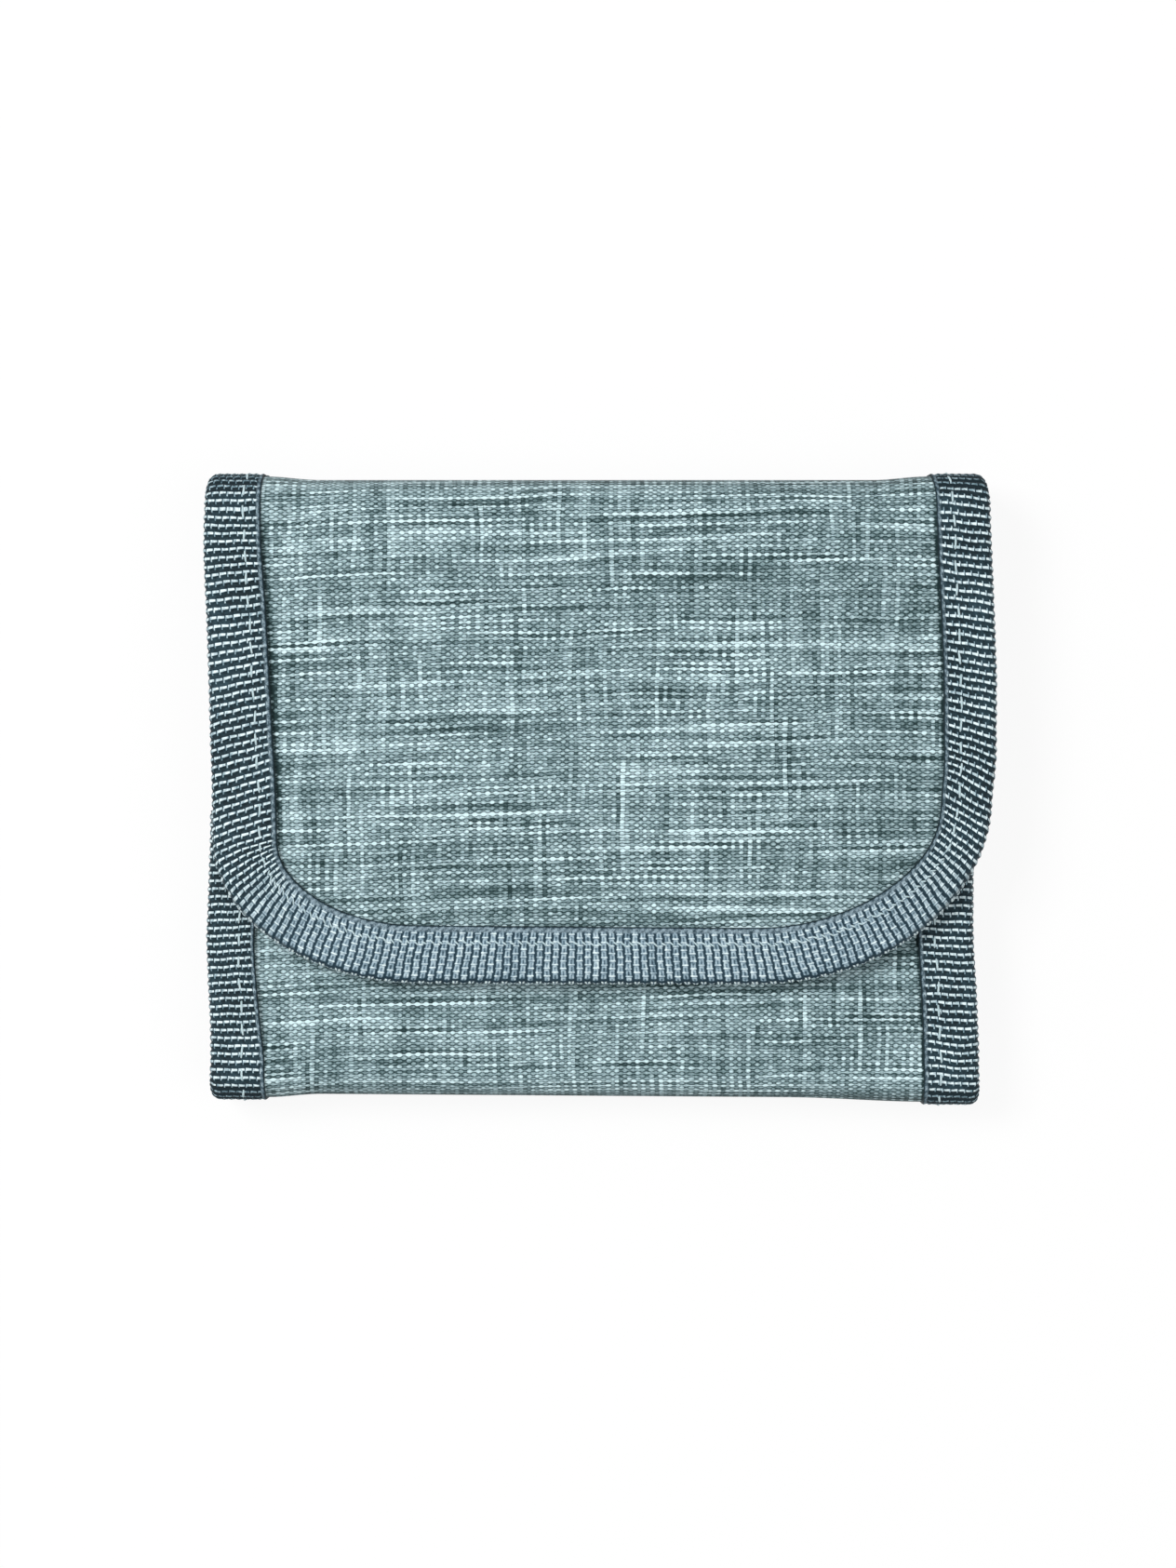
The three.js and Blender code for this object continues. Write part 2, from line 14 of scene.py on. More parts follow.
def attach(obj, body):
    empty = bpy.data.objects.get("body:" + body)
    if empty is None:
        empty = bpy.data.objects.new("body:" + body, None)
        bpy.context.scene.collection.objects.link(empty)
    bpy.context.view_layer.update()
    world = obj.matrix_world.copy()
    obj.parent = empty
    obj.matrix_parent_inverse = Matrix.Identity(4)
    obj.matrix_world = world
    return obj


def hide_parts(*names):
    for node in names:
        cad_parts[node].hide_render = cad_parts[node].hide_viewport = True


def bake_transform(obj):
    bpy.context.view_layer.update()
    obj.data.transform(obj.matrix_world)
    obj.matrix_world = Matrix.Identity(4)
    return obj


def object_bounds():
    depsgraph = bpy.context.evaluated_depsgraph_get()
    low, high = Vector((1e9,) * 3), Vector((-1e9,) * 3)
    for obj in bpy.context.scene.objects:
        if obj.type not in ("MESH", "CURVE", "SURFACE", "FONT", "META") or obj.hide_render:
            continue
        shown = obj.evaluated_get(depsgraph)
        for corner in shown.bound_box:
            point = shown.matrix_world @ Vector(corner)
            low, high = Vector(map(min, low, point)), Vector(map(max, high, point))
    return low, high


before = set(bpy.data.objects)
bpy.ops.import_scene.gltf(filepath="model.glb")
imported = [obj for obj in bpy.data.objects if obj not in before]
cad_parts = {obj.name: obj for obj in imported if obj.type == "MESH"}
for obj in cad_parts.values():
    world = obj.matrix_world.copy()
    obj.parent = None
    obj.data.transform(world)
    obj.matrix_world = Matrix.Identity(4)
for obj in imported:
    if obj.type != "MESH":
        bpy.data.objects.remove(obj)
CAD_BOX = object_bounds()

MM = 0.001
PI = math.pi
SIDES = ((-1, "left"), (1, "right"))

# Sizes, as in the CAD
HALF = 52.5  # half the height, from fold to fold
MID = 1.5  # half a panel's thickness
TAPE_T = 0.9
LEG = 9.4  # how far the tape reaches in over a face


class Fold:
    """A fold, and the strip that runs from the middle of the back over it to the end of the panel in front.
    s1 to s4 are lengths along the strip's outer face: the lower bend's start and end, then the upper one's."""

    def __init__(self, side, top, radius, end, bodies):
        self.side, self.top, self.radius, self.bodies = side, top, radius, bodies
        self.start = self.s1 = HALF - radius
        quarter = PI / 2 * radius
        self.s2 = self.s1 + quarter
        self.s3 = self.s2 + top - 2 * radius
        self.s4 = self.s3 + quarter
        self.mid = (self.s2 + self.s3) / 2
        self.length = self.s4 + self.start - side * end


TOP = Fold(1, 17.8, 6.052, -32.4, ("back_panel", "top_fold", "flap"))
BOTTOM = Fold(-1, 13.3, 4.522, -3.6, ("back_panel", "bottom_fold", "front_panel"))
# the flap's rounded corners, left and right: centre and half axes
CORNERS = ((-29.4, -8.4, 34.7, 24.0), (25.5, -1.6, 39.5, 30.7))

# The cloth's and the tape's pattern
RIB = 1.33  # from rib to rib
BEAD = 1.24  # from dash to dash along a rib
WEFT = 0.482
WARP = 0.719
ROLL = 0.62  # width of the tape's rolled selvage
RIB_MARK = 4.0  # a rib's number counts where it is this far in from the folded edge
TAPE_STEP = RIB / 6
# from stitch to stitch, the share of it that shows thread, and the thread's slant
STITCH, STITCH_SHARE, STITCH_LEAN = 3.8, 0.58, 0.16
STITCH_IN = 2.8  # the stitches run this far outside the tape's inner edge
STITCH_UP = 0.16
SEAM, SEAM_SHARE, SEAM_LEAN = 2.5, 0.84, 0.42  # the same for the seams inside
CLOTH_DEPTH = 0.92  # from the strip's outer face in to the cloth's
CLOTH_DEPTHS = (CLOTH_DEPTH, CLOTH_DEPTH + 0.45)
CLOTH_IN = 3.6  # cloth and linings end this far in from the strip's edge, under the tape
FELT_IN = 10.2
LINING_DEPTHS = (1.62, 2.0)


def smooth(a, b, v):
    t = np.clip((np.asarray(v, float) - a) / (b - a), 0, 1)
    return t * t * (3 - 2 * t)


def xyz(*parts):
    """Points from their coordinates, each an array or a number."""
    return np.stack(np.broadcast_arrays(*parts), -1)


def unit(vectors):
    return vectors / np.linalg.norm(vectors, axis=1)[:, None]


def lengths(line):
    """How far along a line each of its points is."""
    return np.concatenate([[0], np.cumsum(np.linalg.norm(np.diff(line, axis=0), axis=1))])


def along(at, t, line):
    """The points at some lengths along a line."""
    return np.stack([np.interp(at, t, way) for way in line.T], -1)


def soften(line, times):
    for _ in range(times):
        line[1:-1] = 0.5 * line[1:-1] + 0.25 * (line[:-2] + line[2:])


def spaced(a, b, step):
    return np.linspace(a, b, max(2, int(math.ceil(abs(b - a) / step)) + 1))


def through(at, *knots):
    """A soft line through (place, value) pairs, with places from low to high."""
    places, values = np.array(knots).T
    at = np.asarray(at, float)
    return sum(np.interp(at + d, places, values) for d in (-1.8, -0.9, 0.0, 0.9, 1.8)) / 5


# The strip's side view and its edges
def profile(fold, s, depth):
    """y, z and the outward normal in y and z, at a length along the outer face and a depth inside it."""
    s = np.asarray(s, float)
    r = fold.radius
    turn = np.clip((s - fold.s1) / r, 0, PI / 2) + np.clip((s - fold.s3) / r, 0, PI / 2)
    low, high = np.minimum(turn, PI / 2), np.maximum(turn - PI / 2, 0)
    flat = np.minimum(s, fold.s1) - np.maximum(s - fold.s4, 0)
    rise = np.clip(s - fold.s2, 0, fold.top - 2 * r)
    y = flat + r * np.sin(low) - r * (1 - np.cos(high))
    z = r * (1 - np.cos(low)) + rise + r * np.sin(high)
    ny, nz = np.sin(turn), -np.cos(turn)
    return fold.side * (y - depth * ny), z - depth * nz, fold.side * ny, nz


def flap_edges(y, inset=0.0):
    """The flap's left and right edge at a height, drawn in by inset. The sides wander a little, as sewn."""
    y = np.asarray(y, float)
    left = through(y, (-8.4, -64.1), (3, -64.25), (8, -64.5), (16, -64.7), (24, -64.95), (31, -65.2),
                   (36, -65.55), (42, -65.65), (48, -65.35)) + inset
    right = through(y, (-1.6, 65.0), (4, 65.7), (18, 65.8), (24, 65.6), (32, 65.3), (40, 64.95),
                    (48, 64.65)) - inset
    found = []
    for line, side, (cx, cy, a, b) in ((left, -1, CORNERS[0]), (right, 1, CORNERS[1])):
        drop = np.clip((cy - y) / (b - inset), 0, 1)
        found.append(np.where(y < cy, cx + side * (a - inset) * np.sqrt(1 - drop ** 2.05), line))
    return found


def edges(fold, s):
    """The strip's left and right edge at a length along it."""
    s = np.asarray(s, float)
    on = s - fold.s4
    if fold is TOP:
        t = np.clip(s / fold.s1, 0, 1)
        back = -64.8 - 0.1 * t, 63.4 + 0.5 * t
        front = flap_edges(fold.start - np.maximum(on, 0))
        turned = smooth(fold.mid, fold.s4, s)
    else:
        back = -64.8, 63.4
        front = (through(on, (0, -65.0), (4, -64.85), (8, -64.95), (15, -65.3), (22, -65.6), (32, -65.2),
                         (42, -64.9)),
                 through(on, (0, 63.35), (8, 63.2), (16, 62.85), (24, 62.3), (44, 62.35)))
        turned = smooth(fold.s1, fold.s4, s)
    return [b * (1 - turned) + f * turned for b, f in zip(back, front)]


def inset_edges(fold, s, inset):
    left, right = edges(fold, s)
    left, right = left + inset, right - inset
    if fold is TOP:
        flap = flap_edges(fold.start - (s - fold.s4), inset)
        left, right = (np.where(s > fold.s4, on_flap, edge) for on_flap, edge in zip(flap, (left, right)))
    return left, right


def flap_legs(y):
    """How far the tape reaches in over the flap's face on the left and on the right, at a height."""
    return (through(y, (-30, 9.7), (-20, 10.3), (-12, 10.7), (-4, 10.7), (20, 10.1), (36, 9.8), (50, 9.2)),
            through(y, (-30, 9.3), (-20, 8.7), (-12, 8.3), (0, 8.5), (10, 8.8), (50, 9.0)))


def settle(points):
    """The small unevenness of a sewn piece: the bottom fold runs a little askew."""
    x, y, z = np.moveaxis(points, -1, 0)
    return xyz(x, y + (0.12 - 0.0072 * x) * smooth(-4, -50, y), z)


# Meshes
def new_object(name, data):
    obj = bpy.data.objects.new(name, data)
    bpy.context.scene.collection.objects.link(obj)
    return obj


def make(name, points, faces, uv, material, attributes=None, sharp=50):
    mesh = bpy.data.meshes.new(name)
    mesh.from_pydata((np.asarray(points).reshape(-1, 3) * MM).tolist(), [], faces)
    mesh.materials.append(material)
    loops = np.empty(len(mesh.loops), dtype=np.int32)
    mesh.loops.foreach_get("vertex_index", loops)
    layer = mesh.uv_layers.new(name="Weave")
    layer.data.foreach_set("uv", np.asarray(uv, float).reshape(-1, 2)[loops].ravel())
    for key, values in (attributes or {}).items():
        made = mesh.attributes.new(key, "FLOAT", "POINT")
        made.data.foreach_set("value", np.asarray(values, np.float32).ravel())
    mesh.polygons.foreach_set("use_smooth", np.ones(len(mesh.polygons), dtype=bool))
    mesh.set_sharp_from_angle(angle=math.radians(sharp))
    mesh.update()
    return new_object(name, mesh)


def quads(rows, cols, first=0, flip=False):
    r, c = np.meshgrid(np.arange(rows - 1), np.arange(cols - 1), indexing="ij")
    a = first + r * cols + c
    made = np.stack([a, a + 1, a + cols + 1, a + cols], -1).reshape(-1, 4)
    return made[:, ::-1] if flip else made


def slab(name, outer, inner, uv, material, flip=False, **options):
    """A closed sheet between two grids of points of the same shape."""
    rows, cols = outer.shape[:2]
    n = rows * cols
    index = np.arange(n).reshape(rows, cols)
    ring = np.concatenate([index[0, :-1], index[:-1, -1], index[-1, :0:-1], index[:0:-1, 0]])
    after = np.roll(ring, -1)
    rim = np.stack([after, ring, ring + n, after + n], -1)
    faces = np.concatenate([quads(rows, cols), quads(rows, cols, n, True), rim])
    if flip:
        faces = faces[:, ::-1]
    points = np.concatenate([outer.reshape(-1, 3), inner.reshape(-1, 3)])
    uv = np.concatenate([uv.reshape(-1, 2)] * 2)
    return make(name, points, faces.tolist(), uv, material, **options)


def tube(rings, sides, first=0):
    """The faces between neighbouring rings of points."""
    faces = []
    for base in range(first, first + (rings - 1) * sides, sides):
        for c in range(sides):
            a, b = base + c, base + (c + 1) % sides
            faces.append((a, b, b + sides, a + sides))
    return faces


def loft(name, loops, uv, material, **options):
    """A tube through closed loops of points, capped at both ends, or several if loops has a further axis."""
    loops = np.asarray(loops, float)
    n, m = loops.shape[-3:-1]
    faces = []
    for first in range(0, loops.size // 3, n * m):
        last = first + (n - 1) * m
        faces += tube(n, m, first) + [tuple(range(first, first + m))[::-1], tuple(range(last, last + m))]
    rings = loops.reshape(-1, n, m, 3)[0]
    centre = rings.mean(axis=1)
    spokes = rings[0] - centre[0]
    if np.dot(np.cross(spokes[:-1], spokes[1:]).sum(axis=0), centre[1] - centre[0]) < 0:
        faces = [f[::-1] for f in faces]
    return make(name, loops, faces, uv, material, **options)


def field(name, xs, ys, top, bottom, material, keep=None, **options):
    """A closed piece between two heights over a grid in plan. keep says which cells of the grid it fills."""
    X, Y = np.meshgrid(xs, ys, indexing="xy")
    rows, cols = X.shape
    n = rows * cols
    cells = np.ones((rows - 1, cols - 1), bool)
    if keep:
        cells = keep((X[:-1, :-1] + X[1:, 1:]) / 2, (Y[:-1, :-1] + Y[1:, 1:]) / 2)
    points = np.concatenate([xyz(X, Y, height(X, Y)).reshape(-1, 3) for height in (top, bottom)])
    faces = []
    filled = np.pad(cells, 1)
    for r, c in zip(*np.nonzero(cells)):
        a = r * cols + c
        b, d, e = a + 1, a + cols + 1, a + cols
        faces += [(a, b, d, e), (a + n, e + n, d + n, b + n)]
        for neighbour, p, q in ((filled[r, c + 1], b, a), (filled[r + 1, c + 2], d, b),
                                (filled[r + 2, c + 1], e, d), (filled[r + 1, c], a, e)):
            if not neighbour:
                faces.append((p, q, q + n, p + n))
    used, faces = np.unique(faces, return_inverse=True)
    uv = np.tile(xyz(X, Y).reshape(-1, 2), (2, 1))[used]
    return make(name, points[used], faces.reshape(-1, 4).tolist(), uv, material, **options)


def plate(name, outlines, z0, z1, round_by, material, **options):
    """A flat piece with rounded rims. The first outline is its edge and the others are its holes."""
    turns = np.linspace(0, PI / 2, 4)
    levels = [(round_by * (1 - math.sin(t)), z0 + round_by * (1 - math.cos(t))) for t in turns]
    levels += [(round_by * (1 - math.cos(t)), z1 - round_by * (1 - math.sin(t))) for t in turns]
    points, faces, rings = [], [], []
    for k, outline in enumerate(outlines):
        o = np.asarray(outline, float)
        x, y = o.T
        if (np.sum(x * np.roll(y, -1) - np.roll(x, -1) * y) > 0) != (k == 0):
            o = o[::-1]
        t = unit(unit(o - np.roll(o, 1, 0)) + unit(np.roll(o, -1, 0) - o))
        inward = xyz(-t[:, 1], t[:, 0])
        rings.append((len(points), len(o)))
        faces += tube(len(levels), len(o), len(points))
        for inset, z in levels:
            points += [(*p, z) for p in (o + inward * inset).tolist()]
    for level, flip in ((0, True), (len(levels) - 1, False)):
        rims = [list(range(base + level * m, base + (level + 1) * m)) for base, m in rings]
        index = sum(rims, [])
        for tri in tessellate_polygon([[Vector((*points[i][:2], 0)) for i in rim] for rim in rims]):
            f = [index[i] for i in tri]
            (ax, ay, _), (bx, by, _), (cx, cy, _) = (points[i] for i in f)
            up = (bx - ax) * (cy - ay) - (by - ay) * (cx - ax) > 0
            faces.append(tuple(f[::-1] if up == flip else f))
    points = np.array(points)
    return make(name, points, faces, points[:, :2], material, **options)


def rounded_box(x0, x1, y0, y1, r, n=6):
    """A rectangle's outline with rounded corners."""
    corners = ((x1 - r, y0 + r, -90), (x1 - r, y1 - r, 0), (x0 + r, y1 - r, 90), (x0 + r, y0 + r, 180))
    turns = [(cx, cy, math.radians(start + 90 * k / n)) for cx, cy, start in corners for k in range(n + 1)]
    return [(cx + r * math.cos(a), cy + r * math.sin(a)) for cx, cy, a in turns]


def samples(low, high, step, fine=(0.08, 0.2, 0.4, 0.7, 1.1)):
    """Places from low to high, closer together near both ends."""
    fine = np.array([f for f in fine if f < (high - low) / 2.5])
    n = max(2, int(math.ceil((high - low - 2 * fine[-1]) / step)) + 1)
    return np.concatenate([[low], low + fine[:-1], np.linspace(low + fine[-1], high - fine[-1], n),
                           high - fine[:-1][::-1], [high]])


# Node trees
def op(name, swap=False):
    def method(*values):
        return values[0].tree.math(name, *(values[::-1] if swap else values))
    return method


class Value:
    """A number inside a node tree. Arithmetic on it adds math nodes."""

    def __init__(self, tree, socket):
        self.tree, self.socket = tree, socket

    __add__ = __radd__ = op("ADD")
    __mul__ = __rmul__ = op("MULTIPLY")
    __sub__, __rsub__, __truediv__ = op("SUBTRACT"), op("SUBTRACT", True), op("DIVIDE")
    __abs__, floor, fract, sin, cos = op("ABSOLUTE"), op("FLOOR"), op("FRACT"), op("SINE"), op("COSINE")
    max, power, modulo = op("MAXIMUM"), op("POWER"), op("MODULO")

    def step(self, low, high):
        """Softly from 0 at low to 1 at high."""
        made = self.tree.node("ShaderNodeMapRange", self, low, high, interpolation_type="SMOOTHSTEP")
        return Value(self.tree, made[0])


class Tree:
    def __init__(self, tree):
        self.tree = tree
        tree.nodes.clear()

    def put(self, socket, value):
        value = getattr(value, "socket", value)
        if isinstance(value, bpy.types.NodeSocket):
            self.tree.links.new(value, socket)
        elif value is not None:
            socket.default_value = value

    def node(self, kind, *inputs, **props):
        """A new node's outputs. Its inputs are set in their order, and None leaves one as it is."""
        node = self.tree.nodes.new(kind)
        for key, value in props.items():
            setattr(node, key, value)
        for socket, value in zip(node.inputs, inputs):
            self.put(socket, value)
        return node.outputs

    def math(self, name, *values):
        return Value(self, self.node("ShaderNodeMath", *values, operation=name)[0])

    def mix_shaders(self, a, b, share=1.0):
        """Shader b on rays that the camera sees, straight or by way of something glossy or clear."""
        rays = self.node("ShaderNodeLightPath")
        kinds = "Camera", "Glossy", "Transmission"
        camera, glossy, clear = (Value(self, rays[f"Is {kind} Ray"]) for kind in kinds)
        return self.node("ShaderNodeMixShader", camera.max(glossy.max(clear)) * share, a, b)[0]


class Material(Tree):
    def __init__(self, name, slot_color=(0.5, 0.5, 0.5)):
        self.material = bpy.data.materials.new(name)
        self.material.use_nodes = True
        self.material.diffuse_color = (*slot_color, 1)
        super().__init__(self.material.node_tree)
        self.out = self.tree.nodes.new("ShaderNodeOutputMaterial").inputs[0]
        self.shader = self.tree.nodes.new("ShaderNodeBsdfPrincipled")
        self.put(self.out, self.shader.outputs[0])

    def uv(self):
        split = self.node("ShaderNodeSeparateXYZ", self.node("ShaderNodeUVMap", uv_map="Weave")[0])
        return Value(self, split[0]), Value(self, split[1])

    def attribute(self, name):
        return Value(self, self.node("ShaderNodeAttribute", attribute_name=name)["Fac"])

    def noise(self, x, y, scale=1.0, detail=2.0, rough=0.5, z=0.0):
        node = self.tree.nodes.new("ShaderNodeTexNoise")
        node.noise_dimensions = "3D"
        place = self.node("ShaderNodeCombineXYZ", x, y, z)[0]
        for key, value in (("Vector", place), ("Scale", scale), ("Detail", detail), ("Roughness", rough)):
            self.put(node.inputs[key], value)
        return Value(self, node.outputs["Fac"])

    def ramp(self, value, *stops):
        """A colour for a value, from (place, sRGB colour) pairs."""
        node = self.tree.nodes.new("ShaderNodeValToRGB")
        elements = node.color_ramp.elements
        while len(elements) < len(stops):
            elements.new(0.5)
        for element, (at, color) in zip(elements, stops):
            element.position = at
            element.color = (*linear(color), 1)
        self.put(node.inputs[0], value)
        return node.outputs[0]

    def mix(self, fac, a, b):
        unused = (None,) * 5
        return self.node("ShaderNodeMix", fac, *unused, a, b, data_type="RGBA")[2]

    def bump(self, height, distance, strength):
        node = self.tree.nodes.new("ShaderNodeBump")
        for key, value in (("Strength", strength), ("Distance", distance * MM), ("Height", height)):
            self.put(node.inputs[key], value)
        self.put(self.shader.inputs["Normal"], node.outputs[0])

    def finish(self, color, roughness, **sockets):
        for key, value in {"Base_Color": color, "Roughness": roughness, **sockets}.items():
            self.put(self.shader.inputs[key.replace("_", " ")], value)
        return self.material


def linear(color):
    shares = (v / 255 for v in color)
    return tuple(c / 12.92 if c <= 0.04045 else ((c + 0.055) / 1.055) ** 2.4 for c in shares)


# Materials
def heather_cloth():
    m = Material("heather_cloth", (0.25, 0.36, 0.38))
    u, v = m.uv()
    # the grain runs a little askew and is never quite straight, and the yarns aren't evenly spaced
    uneven_v = m.noise(u * 0.35, v, 0.16, z=15.0)
    uneven_u = m.noise(u, v * 0.4, 0.22, z=17.0)
    bow = (m.noise(u, v, 0.03, 1.0) - 0.5) * 1.3
    v2 = v + u * (u * -0.0002 + 0.0225) + bow + (uneven_v - 0.5)
    u2 = u + (m.noise(u, v, 0.05, 1.0, z=9.0) - 0.5) * 1.4 + (uneven_u - 0.5) * 1.1
    row, col = v2 / WEFT, u2 / WARP
    half_on = col + 0.5
    row = (half_on * PI).cos() * (row * PI).cos() * -0.28 + row
    row_i, col_i = row.floor(), col.floor()
    off_mid = abs(((half_on + row_i) * 0.5).fract() - 0.5) * 2.0
    weft = off_mid.step(0.72, 0.46)
    # every yarn is spun from light and dark fibre, so its shade changes along it, and neighbours differ
    along, before = (m.noise(u2 * 0.025, (row_i - k) * 7.13, 1.0, 4.0, 0.58) for k in (0.0, 1.0))
    down, beside = (m.noise((col_i - k) * 6.73, v2 * 0.036, 1.0, 3.0, 0.58, 4.0) for k in (0.0, 1.0))
    along = along + (before - 0.5) * -0.34
    down = down + (beside - 0.5) * -0.2
    cell = m.noise(col_i * 4.7, row_i * 5.9, 1.0, 0.0, z=12.0)
    patch = m.noise(u2 * 0.12, v2 * 0.14, z=30.0)
    fibre = m.noise(u2 * 1.4, v2 * 3.2, rough=0.6, z=21.0)
    streak = (along - 0.5) * 2.95 + along.step(0.56, 0.74) * 0.35
    upright = (down - 0.5) * 3.8 + down.step(0.6, 0.78) * 0.4
    # where the weft lies on top its shade shows, elsewhere the darker warp's
    on_top = weft * 0.12 + 0.65
    # painted light: u * -0.0004 makes the cloth a little lighter towards the left
    shade = streak * on_top + upright * (1.0 - on_top) + weft * 0.10 + u * -0.0004 + 0.308
    shade = shade + (cell - 0.5) * 0.55 + (patch - 0.5) * 0.30 + (fibre - 0.5) * 1.1
    # round yarns, with painted shade in the valley between each and the next
    over_col = (off_mid * 2.0).cos().max(((1.0 - off_mid) * 3.2).cos()).max(0.0)
    height = (row.fract() * PI).sin().power(0.7) * over_col.power(0.10)
    # painted shade: darker where the cloth turns over a fold, with a ragged painted shadow beside the tapes
    ragged_painted_shade = m.attribute("near") * ((cell - 0.5) * 1.8 + 0.42)
    shade = shade + (height - 0.69) * 0.85 - ragged_painted_shade.max(0.0)
    color = m.ramp(shade, (0.0, (34, 56, 58)), (0.22, (78, 102, 105)), (0.46, (126, 151, 156)),
                   (0.70, (172, 197, 203)), (1.0, (224, 248, 252)))
    m.bump(height + fibre * 0.5, 0.12, 0.7)
    return m.finish(color, 0.88, Sheen_Weight=0.12, Sheen_Roughness=0.5, Specular_IOR_Level=0.2)


def ribbed_tape():
    """Dark ribs with a light thread that crosses them in short dashes. Along the tip the tape is painted in a
    lit copy of itself, rows of pale bricks with painted highlights that stand in for the sheen the ribs take
    there."""
    m = Material("ribbed_tape", (0.12, 0.18, 0.22))
    u, v = m.uv()
    lay, roll, rim, turned = (m.attribute(name) for name in ("lay", "roll", "rim", "turned"))
    row_i, row_f = v.floor(), v.fract()
    own = m.noise(row_i * 5.3, 0.0, 1.0, 0.0)
    parity = abs(row_i).modulo(2.0)
    signed = (u + (parity * 0.5 + own * 0.3)).fract() - 0.5
    from_mid, across = abs(signed), abs(row_f - 0.5)
    speck = m.noise(u * 1.9, v * 1.3, z=3.0)
    patch = m.noise(u * 0.2, v * 0.09, z=7.0)
    fuzz = m.noise(u * 6.0, v * 7.0, rough=0.6, z=11.0)
    # each dash is thinner at one end
    ends = abs(signed - 0.38).step(0.13, 0.05)
    bar = (across / (lay * (ends * 0.05 + 0.155) + (signed * 0.05 + 0.150))).step(1.30, 0.80)
    dash = bar * from_mid.step(0.485, 0.37)
    # and hangs on by a short end of thread
    tick = abs(signed - 0.40).step(0.12, 0.05) * abs(row_f - 0.72).step(0.29, 0.15)
    f = (dash * ((speck - 0.5) * 1.1 + 0.84)).max(tick * (speck * 1.15))
    f = f + (fuzz - 0.5) * 0.26 + (speck - 0.42) * 0.35 + (patch - 0.42) * 0.3
    # painted shade: darker where the tape turns over a fold
    side = m.ramp(f + turned * (dash * -0.14 - 0.26),
                  (0.0, (10, 30, 37)), (0.22, (48, 74, 85)), (0.58, (138, 166, 178)), (1.0, (236, 252, 255)))
    # painted lit copy: bricks with painted highlights at their sides and ends, duller in the middle, dark
    # between
    slit = across.step(0.15, 0.05) * from_mid.step(0.34, 0.20)
    g = own * 0.28 + 0.44 + slit * -0.30 + ends * 0.26 + from_mid.step(0.44, 0.495) * -0.22
    g = bar * (g + (speck - 0.5) * 1.2)
    # at the folded edge the last bricks end in a dark line, with two thread ends for each rib in painted
    # highlight
    at_edge = parity * -0.28 + (u + 1.16)
    dots = abs(at_edge - 0.50).step(0.34, 0.18) * abs(across - 0.20).step(0.15, 0.06)
    g = g * (1.0 - abs(at_edge).step(0.32, 0.14)) + dots * (parity * -0.7 + 1.25)
    flat = m.ramp(g + (fuzz - 0.5) * 0.30 + (patch - 0.5) * 0.12, (0.0, (26, 50, 62)), (0.28, (84, 110, 124)),
                  (0.58, (156, 180, 194)), (1.0, (240, 255, 255)))
    # the rolled selvage is a twisted strand, with a painted shadow along its rim, painted a little lighter
    # along the tip
    strand = abs((v * 1.1 + u).fract() - 0.5) * -0.7 + (speck - 0.5) * 1.5 + fuzz * 1.3 + lay * 0.10 + 0.12
    rope = m.ramp(strand - rim * (fuzz * 1.2 + 0.35),
                  (0.0, (22, 40, 46)), (0.4, (60, 82, 93)), (1.0, (158, 180, 192)))
    m.bump(dash + fuzz * 0.6, 0.08, 0.8)
    # lay blends the sides' look into the painted lit copy along the tip
    color = m.mix(roll, m.mix(lay, side, flat), rope)
    return m.finish(color, 0.62, Sheen_Weight=0.03, Specular_IOR_Level=0.18)


def plain_weave(name, dark, light, pitch, roughness, bump, contrast):
    m = Material(name, linear(dark))
    u, v = m.uv()
    row, col = v / pitch, u / pitch
    parity = abs(row.floor() + col.floor()).modulo(2.0)
    height = (row.fract() * PI).sin() * (col.fract() * PI).sin()
    patch = m.noise(u * 0.15, v * 0.15, 1.0, 3.0, 0.6)
    # painted shade: the yarns' tops lighter, the valleys between them darker
    shade = height * (0.45 * contrast) + parity * (0.18 * contrast) + (patch - 0.4) * 0.6
    m.bump(height, bump, 0.8)
    color = m.ramp(shade, (0.0, dark), (1.0, light))
    return m.finish(color, roughness, Sheen_Weight=0.1, Specular_IOR_Level=0.3)


def thread(name, low, high):
    m = Material(name, linear(high))
    u, v = m.uv()
    twist = (v * 2.0 + u).fract()
    wear = m.noise(v * 0.35, u, 1.0, 1.0)
    m.bump((twist * PI).sin(), 0.05, 0.6)
    return m.finish(m.ramp(twist * 0.35 + wear * 0.65, (0.15, low), (0.85, high)), 0.55, Sheen_Weight=0.1)


def rigid(name, dark, light, roughness, metallic):
    m = Material(name, linear(light))
    u, v = m.uv()
    patch = m.noise(u, v, 0.6, 4.0, 0.6)
    fine = m.noise(u, v * 9.0, 3.0, 3.0, 0.6, 5.0)
    m.bump(fine, 0.01, 0.5)
    color = m.ramp(fine * 0.4 + patch * 0.6, (0.3, dark), (0.7, light))
    return m.finish(color, (patch - 0.5) * 0.25 + roughness, Metallic=metallic)


def pile(name, dark, light, scale):
    m = Material(name, linear(light))
    u, v = m.uv()
    fuzz = m.noise(u, v, scale, 4.0, 0.7)
    m.bump(fuzz, 0.25, 1.0)
    color = m.ramp(m.noise(u, v, 0.2, z=4.0) * 0.4 + fuzz * 0.6, (0.3, dark), (0.7, light))
    return m.finish(color, 0.9, Sheen_Weight=0.4, Specular_IOR_Level=0.2)


def clear_film():
    m = Material("clear_film", (0.85, 0.9, 0.92))
    u, v = m.uv()
    m.bump(m.noise(u, v, 0.12), 0.3, 0.35)
    color = m.ramp(m.noise(u, v * 6.0, 2.0, 3.0, 0.6, 5.0), (0.35, (206, 219, 224)), (0.7, (232, 241, 244)))
    return m.finish(color, 0.09, Alpha=0.13, Specular_IOR_Level=0.4)


